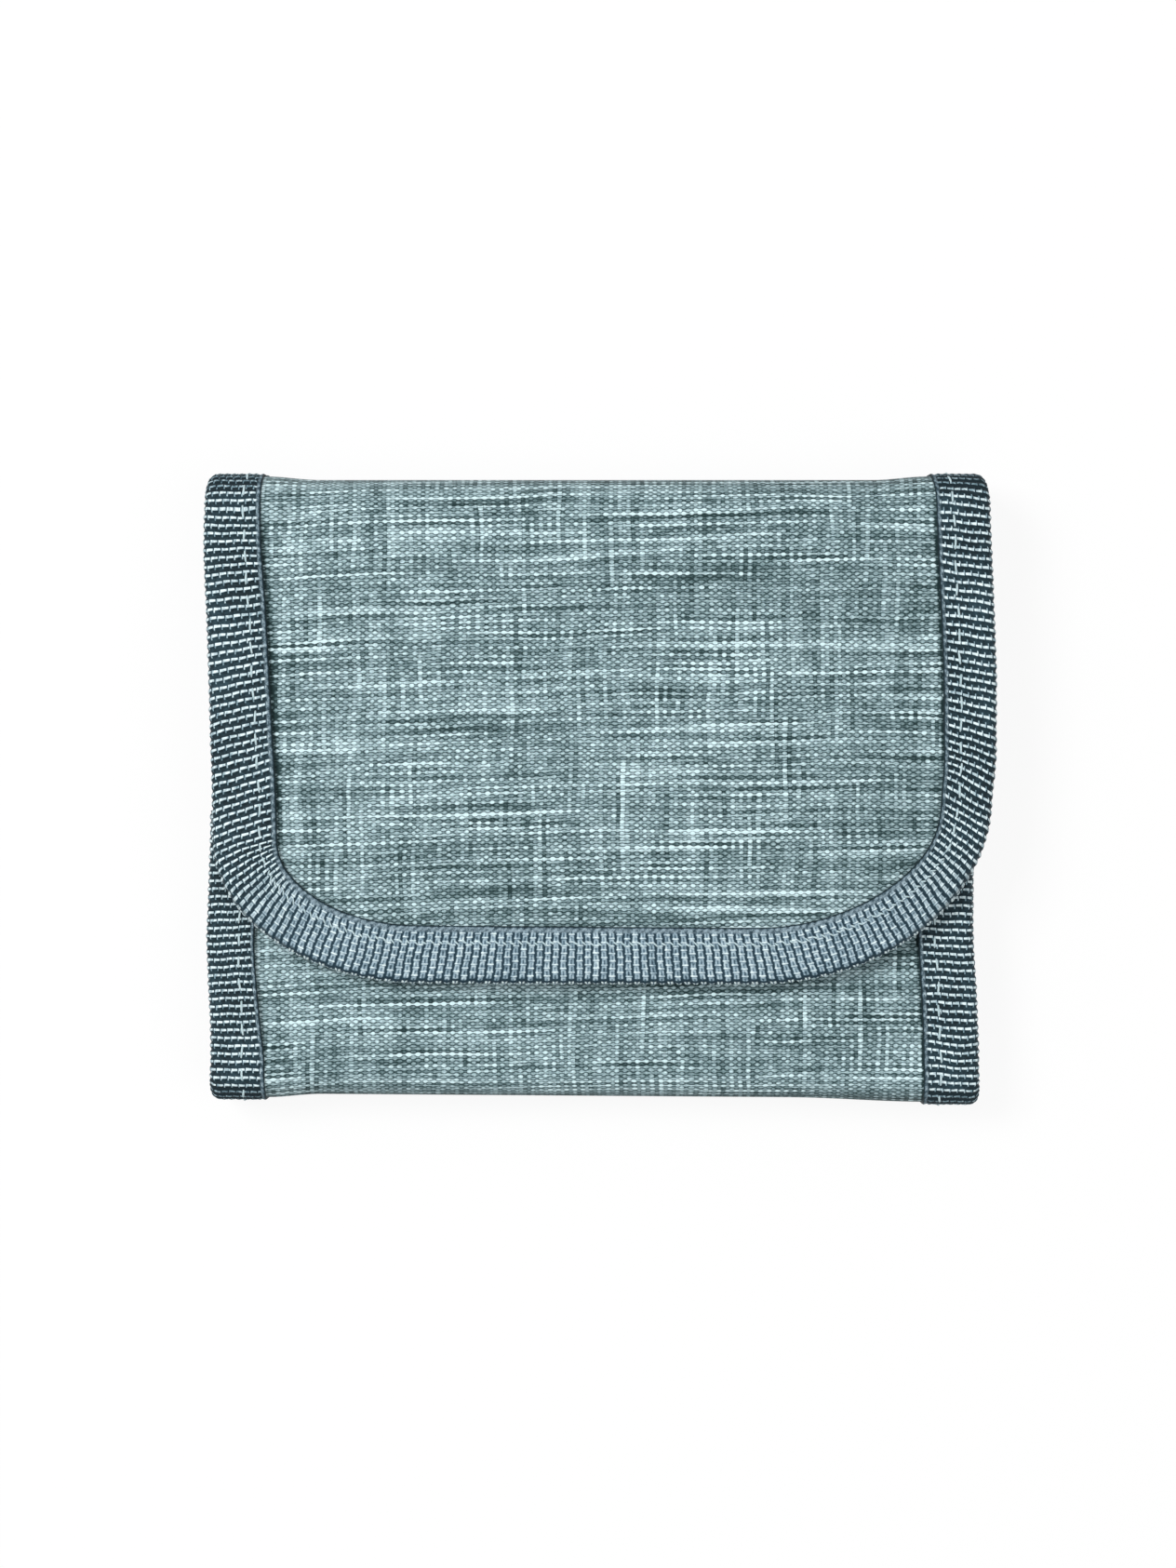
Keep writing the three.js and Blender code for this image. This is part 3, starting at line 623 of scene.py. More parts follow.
CLOTH = heather_cloth()
TAPE = ribbed_tape()
LINING = plain_weave("lining_cloth", (44, 54, 60), (78, 92, 99), 0.42, 0.6, 0.04, 0.8)
FELT = plain_weave("padding_felt", (205, 203, 195), (228, 226, 220), 0.9, 0.95, 0.05, 0.4)
WEBBING = plain_weave("narrow_webbing", (52, 68, 78), (118, 138, 148), 0.62, 0.6, 0.06, 1.0)
ZIP_CLOTH = plain_weave("zip_tape_cloth", (34, 42, 48), (74, 86, 94), 0.4, 0.7, 0.04, 0.9)
THREAD_LIGHT = thread("stitch_thread", (150, 184, 194), (234, 252, 255))
THREAD_DARK = thread("stitch_thread_dark", (58, 74, 82), (104, 126, 136))
METAL = rigid("dark_nickel", (92, 98, 102), (150, 156, 160), 0.32, 1.0)
TEETH = rigid("moulded_teeth", (38, 46, 52), (66, 76, 84), 0.38, 0.0)
LOOPS = pile("loop_pile", (46, 58, 66), (96, 112, 120), 3.2)
HOOKS = pile("hook_pile", (44, 54, 62), (84, 98, 106), 2.0)
FILM = clear_film()


# Outer cloth, padding and linings
def strip_grid(fold, s, inset, depth, t, bulge=0.0, sink=0.0):
    """Points and weave coordinates of a layer of the strip. bulge lifts it between the tapes of a panel, and
    sink lets it lie deeper in the middle of the fold than beside the tapes."""
    left, right = (edge[:, None] for edge in inset_edges(fold, s, inset))
    x = (left + right) / 2 + (right - left) / 2 * t
    away = np.minimum(x - left, right - x)
    on_flat = smooth(fold.s4, fold.s4 + 8, s) + smooth(fold.s1, fold.s1 - 8, s)
    near_end = smooth(0, 9, s[-1] - s) if fold.s4 < s[-1] else 1
    pillow = smooth(LEG - inset - 1.0, LEG - inset + 9, away) * (on_flat * near_end)[:, None]
    waves = 0.10 * np.sin(x / 9.1 + s[:, None] / 14.0) + 0.08 * np.sin(x / 5.3 - s[:, None] / 7.7 + 2.0)
    d = depth - (bulge + waves * (bulge > 0)) * pillow
    if sink:
        reach = 22.0 if fold is BOTTOM else 9.0
        span = np.where(x > 0, smooth(reach, 0, right - LEG + inset - x),
                        smooth(9, 0, x - left - LEG + inset))
        d = d - sink * span * (1 - np.clip(on_flat, 0, 1))[:, None]
    y, z, _, _ = profile(fold, s[:, None], d)
    return settle(xyz(x, y, z)), xyz(x, fold.side * s[:, None])


def shade(fold, s, x):
    """Painted shade on the cloth: darker where it turns over a fold, and a painted shadow close beside a tape.
    """
    _, _, _, nz = profile(fold, s, CLOTH_DEPTH)
    near = (0.6 if fold is BOTTOM else 0.35) * smooth(0.85, 0.2, np.abs(nz))[:, None] + 0 * x
    left, right = (edge[:, None] for edge in edges(fold, s))
    if fold is TOP:
        y = (fold.start - (s - fold.s4))[:, None]
        left_leg, right_leg = flap_legs(y)
        beside_left = smooth(1.7, 0.2, x - (left + left_leg)) * (smooth(-12, 0, y) * smooth(50, 40, y))
        beside_right = smooth(0.6, 0.15, (right - right_leg) - x) * (smooth(0, 8, y) * smooth(50, 44, y))
        near = np.maximum(np.maximum(near, beside_left), 1.4 * beside_right)
    elif s[-1] > fold.s4:
        near = np.maximum(near, 1.5 * smooth(0.45, 0.1, (right - 9.3) - x))
    return {"near": np.concatenate([near.ravel()] * 2)}


def bend(obj, half):
    """Bakes a piece's transform into its mesh, alike for the fold's lower and upper half."""
    if half == "low":
        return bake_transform(obj)
    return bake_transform(obj)


def settle_in(obj, body, slot, *nodes):
    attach(obj, body)
    if nodes:
        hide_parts(*nodes)
    return obj


def declare_strip(fold, s, inset):
    left, right = inset_edges(fold, s, inset)
    width, length = float((right - left).max()), s[-1] - s[0]


def strip_piece(name, fold, half, depths, cols, material, nodes, step, end_in, bulge=(0.0, 0.0)):
    s = spaced(0, fold.mid, step) if half == "low" else spaced(fold.mid, fold.length - end_in, step)
    sink = 0.6 if material is CLOTH else 0.0
    outer, uv = strip_grid(fold, s, CLOTH_IN, depths[0], cols, bulge[0], sink)
    inner, _ = strip_grid(fold, s, CLOTH_IN, depths[1], cols, bulge[1], sink)
    attributes = shade(fold, s, outer[..., 0]) if material is CLOTH else None
    obj = slab(name, outer, inner, uv, material, flip=fold.side > 0, attributes=attributes)
    bend(obj, half)
    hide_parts(*nodes)
    declare_strip(fold, s, CLOTH_IN)


def padding(name, node, body, fold, s):
    outer, uv = strip_grid(fold, s, FELT_IN, CLOTH_DEPTH + 0.47, EVEN, 0.35)
    inner, _ = strip_grid(fold, s, FELT_IN, 1.60, EVEN)
    obj = slab(name, outer, inner, uv, FELT, flip=fold.side > 0)
    settle_in(obj, body, "padding", node)
    declare_strip(fold, s, FELT_IN)


# across the strip, with more points where the cloth meets the tapes
COLS = np.concatenate([np.linspace(-1, -0.93, 5), np.linspace(-0.92, -0.85, 13), np.linspace(-0.84, 0.84, 72),
                       np.linspace(0.85, 0.885, 4), np.linspace(0.892, 0.925, 13), np.linspace(0.935, 1, 4)])
EVEN = np.linspace(-1, 1, 40)
# cloth's name, lining's name, fold, half, parts of the CAD, step, inset of the end, bulge
STRIPS = (("back_upper", "back_upper", TOP, "low", ("back",), 1.1, 0, 0.35),
          ("flap_outer", "flap_inner", TOP, "high", ("flap", "top_fold"), 0.9, CLOTH_IN, 0.55),
          ("back_lower", "back_lower", BOTTOM, "low", ("back",), 1.1, 0, 0.35),
          ("front_outer", "front_inner", BOTTOM, "high", ("front", "bottom_fold"), 0.9, 0.4, 0.45))
for cloth_name, _, fold, half, parts, step, end_in, bulge in STRIPS:
    strip_piece(f"{cloth_name}_cloth", fold, half, CLOTH_DEPTHS, COLS, CLOTH,
                [f"{part}_cloth" for part in parts], step, end_in, (bulge, 0.35))
for _, lining_name, fold, half, parts, _, end_in, _ in STRIPS:
    strip_piece(f"{lining_name}_lining", fold, half, LINING_DEPTHS, EVEN, LINING,
                [f"{part}_lining" for part in parts], 1.5, end_in)


# Binding tape
def cross_section():
    """Across the tape from the inner edge of its outer face, round the folded edge, to the other face. Gives
    the length across, distance in from the edge, height from the middle, and the outward direction."""
    flat, arc = LEG - MID, PI * MID
    c = np.concatenate([np.linspace(0, flat, 28, endpoint=False),
                        flat + np.linspace(0, arc, 12, endpoint=False),
                        flat + arc + np.linspace(0, flat, 17)])
    turn = np.clip((c - flat) / MID, 0, PI)
    inward = MID - MID * np.sin(turn) + np.maximum(flat - c, 0) + np.maximum(c - flat - arc, 0)
    return c, inward, MID * np.cos(turn), -np.sin(turn), np.cos(turn)


def tape(name, path, inward, normal, rows, leg, lay, slant, nodes, sag=0.0):
    """A folded tape along an edge. path is at the middle of the panel's thickness, rows counts its ribs,
    slant is how far a rib on the outer face runs on along the edge for each millimetre across the tape, and
    sag is how far its middle hangs back, in ribs."""
    c, a0, b0, da, db = cross_section()
    n, m = len(path), len(c)
    rows, slant, sag, leg, lay = (np.reshape(v, (-1, 1)) for v in (rows, slant, sag, leg, lay))
    a = np.minimum(a0, MID) + np.maximum(a0 - MID, 0) * (leg - MID) / (LEG - MID)
    edge_c = (LEG - MID) + PI * MID / 2
    bead = (c - edge_c) / BEAD + 0 * a
    from_edge = np.clip(edge_c - c, -1.0, edge_c)
    hang = np.clip(1 - (from_edge / RIB_MARK - 1) ** 2, 0, 1)
    row = rows - slant * (from_edge - RIB_MARK) / RIB - sag * hang
    row = row + 0.035 * np.sin(bead * 1.9 + rows * 0.63) + 0.03 * np.sin(bead * 0.9 - rows * 0.41)
    whole = np.floor(row)
    ridge = np.maximum(np.cos((row - whole - 0.5) * 2 * PI) * 0.5 + 0.5, 0) ** 0.8
    jitter = (np.sin(whole * 12.9898) * 43758.5453) % 1.0
    lump = 0.5 + 0.5 * np.cos(2 * PI * (bead + 0.5 * (whole % 2) + 0.7 * jitter - 0.5))
    relief = 0.30 * ridge * (0.62 + 0.38 * lump) - 0.10
    # the rolled selvage along the tape's inner edges
    from_end = np.minimum(c, c[-1] - c)
    width = ROLL + 0.3 * lay
    in_roll = smooth(0.15, -0.15, from_end - width)
    twist = 0.5 + 0.5 * np.cos(2 * PI * (row * 1.5 + bead))
    swell = np.sqrt(np.clip(1 - ((from_end - width / 2) / (width / 2)) ** 2, 0, 1))
    roll = 0.16 * swell * (0.75 + 0.25 * twist)
    groove = 0.14 * np.exp(-(((from_end - width - 0.25) / 0.22) ** 2))
    relief = (relief * (1 - in_roll) + roll * in_roll - groove) * smooth(0, 0.25, from_end)
    # rim: where the rolled selvage gets a painted shadow
    rim = smooth(0.32, 0.08, from_end) + 0 * a
    # painted shade: the outer face is darker where it turns over a fold
    level = np.abs(normal[:, 2:])
    turned = smooth(0.96, 0.76, level) * (0.35 + 0.65 * smooth(0.05, 0.35, level))
    turned = turned * smooth(edge_c + 0.8, edge_c - 0.2, c)

    def at(inw, up):
        return settle(path[:, None] + inward[:, None] * inw[..., None] + normal[:, None] * up[..., None])

    # the inner skin follows every fourth point
    k = np.arange(0, m, 4)
    shrink = (MID - TAPE_T) / MID
    outer = at(a + relief * da, b0 + relief * db)
    fewer = a[:, k]
    inner = at(np.where(fewer <= MID, MID - (MID - fewer) * shrink, fewer), b0[k] * shrink + 0 * fewer)
    mi = len(k)
    faces = [quads(n, m), quads(n, mi, n * m, True)]
    o = np.arange(n) * m
    i = n * m + np.arange(n) * mi
    for first, last, flip in ((0, 0, False), (m - 1, mi - 1, True)):
        side = np.stack([o[:-1] + first, o[1:] + first, i[1:] + last, i[:-1] + last], -1)
        faces.append(side[:, ::-1] if flip else side)
    faces = np.concatenate(faces).tolist()
    for row_o, row_i, flip in ((0, n * m, False), ((n - 1) * m, n * m + (n - 1) * mi, True)):
        for j in range(mi - 1):
            cap = [row_i + j, row_i + j + 1] + [row_o + 4 * (j + 1) - q for q in range(5)]
            faces.append(cap[::-1] if flip else cap)
    if np.dot(np.cross(path[1] - path[0], inward[0]), normal[0]) > 0:
        faces = [f[::-1] for f in faces]

    def on_both(values):
        return np.concatenate([values.ravel(), values[:, k].ravel()])

    points = np.concatenate([outer.reshape(-1, 3), inner.reshape(-1, 3)])
    attributes = {"lay": lay + 0 * a, "roll": in_roll, "rim": rim, "turned": turned}
    attributes = {key: on_both(values) for key, values in attributes.items()}
    obj = make(name, points, faces, xyz(on_both(bead), on_both(row)), TAPE, attributes, sharp=80)
    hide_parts(*nodes)
    return obj


def even_stitches(start, end, pitch=STITCH, share=STITCH_SHARE, lean=STITCH_LEAN):
    """Where a row's stitches lie: the middle of each, its length, and how far it leans across the row."""
    middles = np.arange(start + 0.4, end - pitch, pitch) + share * pitch / 2
    return [(at, share * pitch, lean * (1 if k % 2 else -1) * (1 + 0.5 * math.sin(k * 2.3)))
            for k, at in enumerate(middles)]


def stitch_row(name, path, inward, normal, t, offset, height, places, material,
               raw=False):
    """A row of raised stitches at a distance in from the edge, on one face."""
    rings = np.array([0.0, 0.10, 0.35, 0.65, 0.90, 1.0]) - 0.5
    radius = np.array([0.08, 0.15, 0.18, 0.18, 0.15, 0.08])[:, None]
    lift = np.array([-0.34, -0.10, 0.06, 0.06, -0.10, -0.34])[:, None]
    angle = np.linspace(0, 2 * PI, 8, endpoint=False)
    loops, uvs = [], []
    for k, (middle, length, lean) in enumerate(places):
        at = middle + rings * length
        base, inw, nor = (along(at, t, way)[:, None] for way in (path, inward, normal))
        off = np.interp(at, t, offset + 0 * t) + lean * rings + 0.10 * math.sin(k * 1.7)
        loops.append(base + inw * (off[:, None] + radius * np.cos(angle))[..., None]
                     + nor * (height + lift + radius * 0.8 * np.sin(angle))[..., None])
        uvs.append(xyz(angle, at[:, None]))
    loops = np.array(loops)
    obj = loft(name, loops if raw else settle(loops), uvs, material, sharp=80)
    return obj


def stitch_tape(name, half, path, inward, normal, t, offset, places):
    for face, up in (("outer", MID + STITCH_UP), ("inner", -MID - STITCH_UP)):
        row = stitch_row(f"{name}_{face}_stitches", path, inward, normal, t, offset, up, places, THREAD_LIGHT)
        bend(row, half)


def side_path(fold, side, s):
    """The strip's edge on one side: points at the middle of the thickness, inward and outward directions."""
    x = edges(fold, s)[0 if side < 0 else 1]
    y, z, ny, nz = profile(fold, s, MID)
    return xyz(x, y, z), xyz(-side + 0.0 * x, 0, 0), xyz(0, ny, nz)


def flap_path():
    """The flap's whole edge, from the middle of the top fold on the left, round the tip, to it on the right.
    Gives its points, inward and outward directions, lengths, and how far the edge runs across."""
    (lx, ly, la, lb), (rx, ry, ra, rb) = CORNERS
    down = np.linspace(TOP.start, ly, 60, endpoint=False)
    up = np.linspace(ry, TOP.start, 61)[1:]
    q = np.linspace(0, PI / 2, 80)
    line = np.concatenate([xyz(flap_edges(down)[0], down), xyz(lx - la * np.cos(q), ly - lb * np.sin(q)),
                           xyz(rx + ra * np.sin(q), ry - rb * np.cos(q)), xyz(flap_edges(up)[1], up)])
    soften(line, 6)
    t = lengths(line)
    length = t[-1]
    at = np.linspace(0, length, int(length / TAPE_STEP) + 1)
    xy = along(at, t, line)
    soften(xy, 12)
    tangent = unit(np.gradient(xy, axis=0))
    tangent[0], tangent[-1] = (0, -1), (0, 1)
    path = xyz(xy[:, 0], xy[:, 1], TOP.top - MID)
    inward = xyz(-tangent[:, 1], tangent[:, 0], 0)
    normal = np.zeros_like(path) + (0, 0, 1)
    # on both sides it goes on over the fold
    rest = TOP.s4 - TOP.mid
    s = np.linspace(TOP.mid, TOP.s4, int(rest / TAPE_STEP) + 1)[:-1]
    arc = s - TOP.mid
    left, right = side_path(TOP, -1, s), side_path(TOP, 1, s)
    path, inward, normal = (np.concatenate([before, here, after[::-1]])
                            for before, here, after in zip(left, (path, inward, normal), right))
    t = np.concatenate([arc, at + TOP.s4 - TOP.mid, length + 2 * rest - arc[::-1]])
    return path, inward, normal, t, np.concatenate([0 * arc, np.abs(tangent[:, 0]), 0 * arc])


def build_side_tapes():
    for fold, label, part in ((TOP, "upper", "back"), (BOTTOM, "lower", "back"), (BOTTOM, "front", "front")):
        front = label == "front"
        half = "high" if front else "low"
        s = spaced(fold.mid, fold.length, TAPE_STEP) if front else spaced(0, fold.mid, TAPE_STEP)
        on, turned = s - fold.s4, smooth(4, fold.mid, s)
        for side, hand in SIDES:
            name = f"front_tape_{hand}" if front else f"back_{label}_tape_{hand}"
            nodes = [f"{part}_binding_{hand}"]
            if front or fold is TOP:
                nodes.append(f"{'bottom' if front else 'top'}_fold_binding_{hand}")
            slant = 0.05 * side * np.sin(s / 11.0) * smooth(0, 8, np.abs(s - fold.mid))
            sag = 0.0
            if front and side < 0:
                leg = through(on, (-4, 9.2), (2, 9.1), (8, 8.4), (18, 8.0), (44, 8.0))
            elif front:
                leg = 9.3 + 0 * s
                slant = -0.03 * smooth(-9, 2, on)
                sag = through(on, (-2, 0.0), (0, 0.1), (4.7, 0.38), (11.5, 0.2), (16, 0.05), (30, 0.0))
            else:
                widening = (0.5, -0.05) if fold is TOP else (0.15, 0.25)
                leg = 9.05 + widening[side > 0] * turned
            path, inward, normal = side_path(fold, side, s)
            rows = fold.side * s / RIB + 400
            bend(tape(name, path, inward, normal, rows, leg, 0 * s, slant, nodes, sag), half)
            stitch_tape(name, half, path, inward, normal, s - s[0],
                        5.4 if front and side < 0 else leg - STITCH_IN, even_stitches(0, s[-1] - s[0]))


def build_flap_tape():
    path, inward, normal, t, lay = flap_path()
    x, y = path[:, 0], path[:, 1]
    # how far along from the start of the nearer corner, positive towards the tip
    on_left = np.arange(len(t)) < int(np.argmin(np.abs(x) + 1e3 * (y > 0)))
    first = int(np.argmax(y < CORNERS[0][1]))
    last = len(y) - 1 - int(np.argmax(y[::-1] < CORNERS[1][1]))
    gone = np.where(on_left, t - t[first], t[last] - t)
    pitch = np.where(
        on_left,
        through(gone, (-60, 1.33), (-52, 1.34), (-46, 1.40), (-36, 1.43), (-18, 1.41), (-6, 1.36), (4, 1.50),
                (14, 1.44), (28, 1.48), (42, 1.47), (50, 1.35), (80, 1.33)),
        through(gone, (-60, 1.36), (-48, 1.385), (-40, 1.42), (-32, 1.47), (-12, 1.45), (0, 1.48), (6, 1.56),
                (14, 1.46), (54, 1.46), (61, 1.36), (80, 1.33)))
    rows = np.concatenate([[0], np.cumsum((1 / pitch[1:] + 1 / pitch[:-1]) / 2 * np.diff(t))])
    rows = TOP.mid / RIB + 400 + rows / rows[-1] * (2 * round(rows[-1] / 2))
    left_leg, right_leg = flap_legs(y)
    share = smooth(-40, 40, x)
    leg = left_leg * (1 - share) + right_leg * share
    # the ribs turn sooner than the tape does on its way to the tip, and stand upright only at the middle
    slant = np.where(
        on_left,
        -through(gone, (-60, 0.0), (-46, 0.04), (-38, 0.07), (-30, 0.15), (-22, 0.205), (-14, 0.25),
                 (-6, 0.31), (0, 0.37), (4, 0.34), (9, 0.24), (16, 0.17), (24, 0.09), (32, 0.01),
                 (36, -0.07), (40, -0.13), (45, -0.18), (56, -0.14), (64, -0.07), (72, 0.0), (80, 0.0)),
        through(gone, (-60, 0.0), (-50, 0.11), (-40, 0.15), (-20, 0.17), (-12, 0.24), (-4, 0.33), (0, 0.39),
                (4, 0.35), (8, 0.28), (12, 0.20), (23, 0.16), (28, 0.05), (36, 0.0), (41, -0.06), (46, -0.15),
                (51, -0.18), (56, -0.14), (69, -0.07), (81, 0.0)))
    bend(tape("flap_tape", path, inward, normal, rows, leg, smooth(0.30, 0.97, lay), slant, ["flap_binding"]),
         "high")
    # along the tip, one stitch in each gap between two ribs
    beat = rows - slant * (leg - STITCH_IN - RIB_MARK) / RIB
    gaps = np.interp(np.arange(math.ceil(beat[0]) + 1, math.floor(beat[-1])), beat, t)
    gaps = gaps[np.interp(gaps, t, lay) > 0.5]
    places = (even_stitches(0, gaps[0])
              + [(at, 0.72 * RIB, -0.62 - 0.2 * math.sin(k * 2.3)) for k, at in enumerate(gaps)]
              + even_stitches(gaps[-1] + RIB, t[-1]))
    stitch_tape("flap_tape", "high", path, inward, normal, t, leg - STITCH_IN, places)


build_side_tapes()
build_flap_tape()


# Helpers for the pieces inside
ZIP_Y = 33.498
SHEET = 0.5  # thickness of pocket cloth


def drape(x, y):
    """The unevenness that all the stacked pocket cloth shares. It dies out at the zip and the sewn edges."""
    loose = smooth(5.5, 13, np.abs(y - ZIP_Y)) * smooth(54, 47, np.abs(x))
    loose = loose * smooth(-47.5, -40, y) * smooth(49, 43, y)
    wave = 0.15 * np.sin(x / 13.0 + 0.7) * np.sin(y / 16.0 + 0.4) + 0.09 * np.sin(x / 6.1 + y / 9.0 + 1.0)
    return wave * loose


def seam(name, points, body="back_panel", slot="lining", up=0.0, material=THREAD_DARK):
    """A row of stitches along a line of points that face up, or down where up is negative."""
    points = np.asarray(points, float)
    t = lengths(points)
    dense = np.arange(0, t[-1], 0.4)
    path = along(dense, t, points)
    tangent = unit(np.gradient(path, axis=0))
    inward = xyz(-tangent[:, 1], tangent[:, 0], 0)
    normal = np.zeros_like(path) + (0, 0, -1 if up < 0 else 1)
    places = even_stitches(0, dense[-1], SEAM, SEAM_SHARE, SEAM_LEAN)
    row = stitch_row(name, path, inward, normal, dense, 0.0, abs(up), places, material, raw=True)
    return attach(row, body)


def seam_on(name, top, x, y, lift=0.05, **options):
    """A seam on the upper face of a piece."""
    return seam(name, xyz(x, y, top(x, y) + lift), **options)


def fall(depth, reach):
    """How far a round rim falls at a distance in from its end, as a share of its height."""
    return 1 - np.sqrt(np.clip(1 - (1 - np.clip(depth, 0, reach) / reach) ** 2, 0, 1))


def pocket_sheet(name, node, half, y0, y1, z0, thick, material=LINING, slot="lining", hem=None, lips=(),
                 gape=0.0, keep=None, notch=()):
    """A sewn sheet of pocket cloth, half wide on each side. hem is (mouth, width) along Y, lips are the edges
    that curl down, gape is how far the mouth stands open, keep is as for field, and notch adds lines to its
    grid as (half width, low, high). Gives the sheet's upper face."""
    r = thick / 2

    def base(X, Y):
        z = drape(X, Y)
        for lip in lips:
            z = z - 1.1 * fall({"left": X + half, "right": half - X, "low": Y - y0, "high": y1 - Y}[lip], 1.3)
        return z + gape * np.cos(np.clip(PI * X / (2 * half), -PI / 2, PI / 2)) * np.exp((Y - y1) / 6.0)

    def rim(X, Y):
        return 0.7 * r * fall(np.minimum(half - np.abs(X), np.minimum(Y - y0, y1 - Y)), r)

    def top(X, Y):
        z = z0 + thick + base(X, Y) - rim(X, Y)
        if hem:
            z = z + 0.13 * smooth(hem[1] + 0.15, hem[1] - 0.15, np.abs(hem[0] - Y))
        return z

    xs, ys = samples(-half, half, 2.2), samples(y0, y1, 2.2)
    if hem:
        line = hem[0] - hem[1]
        ys = np.union1d(ys, [line - 0.2, line, line + 0.2])
    for wide, low, high in notch:
        xs, ys = np.union1d(xs, [-wide, wide]), np.union1d(ys, [low, high])
    obj = field(name, xs, ys, top, lambda X, Y: z0 + base(X, Y) + rim(X, Y), material, keep)
    settle_in(obj, "back_panel", slot, node)
    return top


padding("flap_felt", "flap_padding", "flap", TOP, spaced(TOP.s4 + 1, TOP.length - 10.5, 1.2))
padding("front_felt", "front_padding", "front_panel", BOTTOM, spaced(BOTTOM.s4 + 1, BOTTOM.length - 1.5, 1.5))
padding("back_upper_felt", "back_padding", "back_panel", TOP, spaced(0.05, TOP.s1 - 0.5, 1.5))
padding("back_lower_felt", "back_padding", "back_panel", BOTTOM, spaced(0.05, BOTTOM.s1 - 0.5, 1.5))


# Note pocket
NOTE_HALF, NOTE_FOOT, NOTE_MOUTH, NOTE_TOP = 54.2, -47.678, 45.848, 7.3
note_top = pocket_sheet("note_pocket_cloth", "note_pocket_panel", NOTE_HALF, NOTE_FOOT, NOTE_MOUTH,
                        NOTE_TOP - SHEET, SHEET)
RISE = np.linspace(0, 1, 9)


def gusset(name, node, span, outer, thick, lengthwise, wander=0.0):
    """A thin wall of the note pocket, swept along Y or X. outer is its outer face from foot to head."""
    across, z = np.concatenate([outer, (outer + thick)[::-1]]), 2.02 + 4.76 * RISE
    z = np.concatenate([z, z[::-1]])
    along = samples(*span, 3.0)[:, None]
    across = across + wander * np.sin(along / 8.0)
    loops = xyz(across, along, z) if lengthwise else xyz(along, across, z)
    settle_in(loft(name, loops, xyz(along, z), LINING), "back_panel", "lining", node)


for side, hand in SIDES:
    bow = 0.9 * np.sin(PI * RISE) + 0.25 * np.sin(2 * PI * RISE)
    gusset(f"note_pocket_side_{hand}", f"note_pocket_gusset_{hand}", (-47.6, 45.6), side * (54.1 - bow),
           -0.4 * side, True, side * 0.12)
gusset("note_pocket_foot", "note_pocket_foot_gusset", (-53.3, 53.3), -47.6 + 0.45 * np.sin(PI * RISE), 0.4,
       False)


def hem_tape():
    """Narrow tape folded over the note pocket's mouth."""
    xs = samples(-53.6, 53.6, 1.2)[:, None]
    mouth, low = 45.95, 41.85
    outer = [(low, 7.58), (low + 0.3, 7.66), (mouth - 0.4, 7.66)]
    turns = np.linspace(0, PI, 9)[1:-1]
    outer += [(mouth - 0.25 + 0.6 * math.sin(a), 7.06 + 0.6 * math.cos(a)) for a in turns]
    outer += [(mouth - 0.4, 6.46), (low + 0.3, 6.46), (low, 6.54), (low, 6.76), (mouth - 0.1, 6.76),
              (mouth, 7.05), (mouth - 0.1, 7.34), (low, 7.34)]
    y, z = np.array(outer).T
    loops = xyz(xs, y, z + (note_top(xs, np.minimum(y, 45.0)) - NOTE_TOP))
    obj = loft("note_pocket_mouth_tape", loops, loops[..., :2], WEBBING)
    settle_in(obj, "back_panel", "binding_tape", "note_pocket_hem")


hem_tape()
seam_on("note_pocket_mouth_stitches", note_top, np.linspace(-53, 53, 120), 42.7, 0.36, slot="binding_tape",
        material=THREAD_LIGHT)


# Coin pocket and its zip
COIN_HALF, COIN_FOOT, COIN_MOUTH, COIN_Z = 53.2, -46.678, 28.798, 8.4
HEAD_LOW, HEAD_HIGH = 38.198, 41.748  # the strip of cloth above the zip
coin_top = pocket_sheet("coin_pocket_front_cloth", "coin_pocket_lower_wall", COIN_HALF, COIN_FOOT, COIN_MOUTH,
                        COIN_Z, SHEET, hem=(COIN_MOUTH, 2.6), lips=("left", "right", "low"))
coin_head = pocket_sheet("coin_pocket_head_cloth", "coin_pocket_upper_wall", COIN_HALF, HEAD_LOW, HEAD_HIGH,
                         COIN_Z, SHEET, lips=("left", "right", "high"))
seam_on("zip_lower_stitches", coin_top, np.linspace(-51, 51, 110), 27.4)
seam_on("zip_upper_stitches", coin_head, np.linspace(-51, 51, 110), 39.2)
for side, hand in SIDES:
    seam_on(f"coin_pocket_stitches_{hand}", coin_top, side * 51.3, np.linspace(-44.5, 26, 80))


def zip_tape(name, node, side):
    def top(X, Y):
        d = np.abs(Y - ZIP_Y)
        return 8.38 + 0.05 * np.sin(d * 2 * PI / 1.4) * smooth(4.6, 3.9, d) - 0.06 * smooth(0.6, 0.2, d)

    y0, y1 = sorted((ZIP_Y + side * 0.15, ZIP_Y + side * 7.1))
    obj = field(name, samples(-52.0, 52.0, 2.0), samples(y0, y1, 0.5), top, lambda X, Y: 7.92, ZIP_CLOTH)
    settle_in(obj, "back_panel", "zip_tape", node)


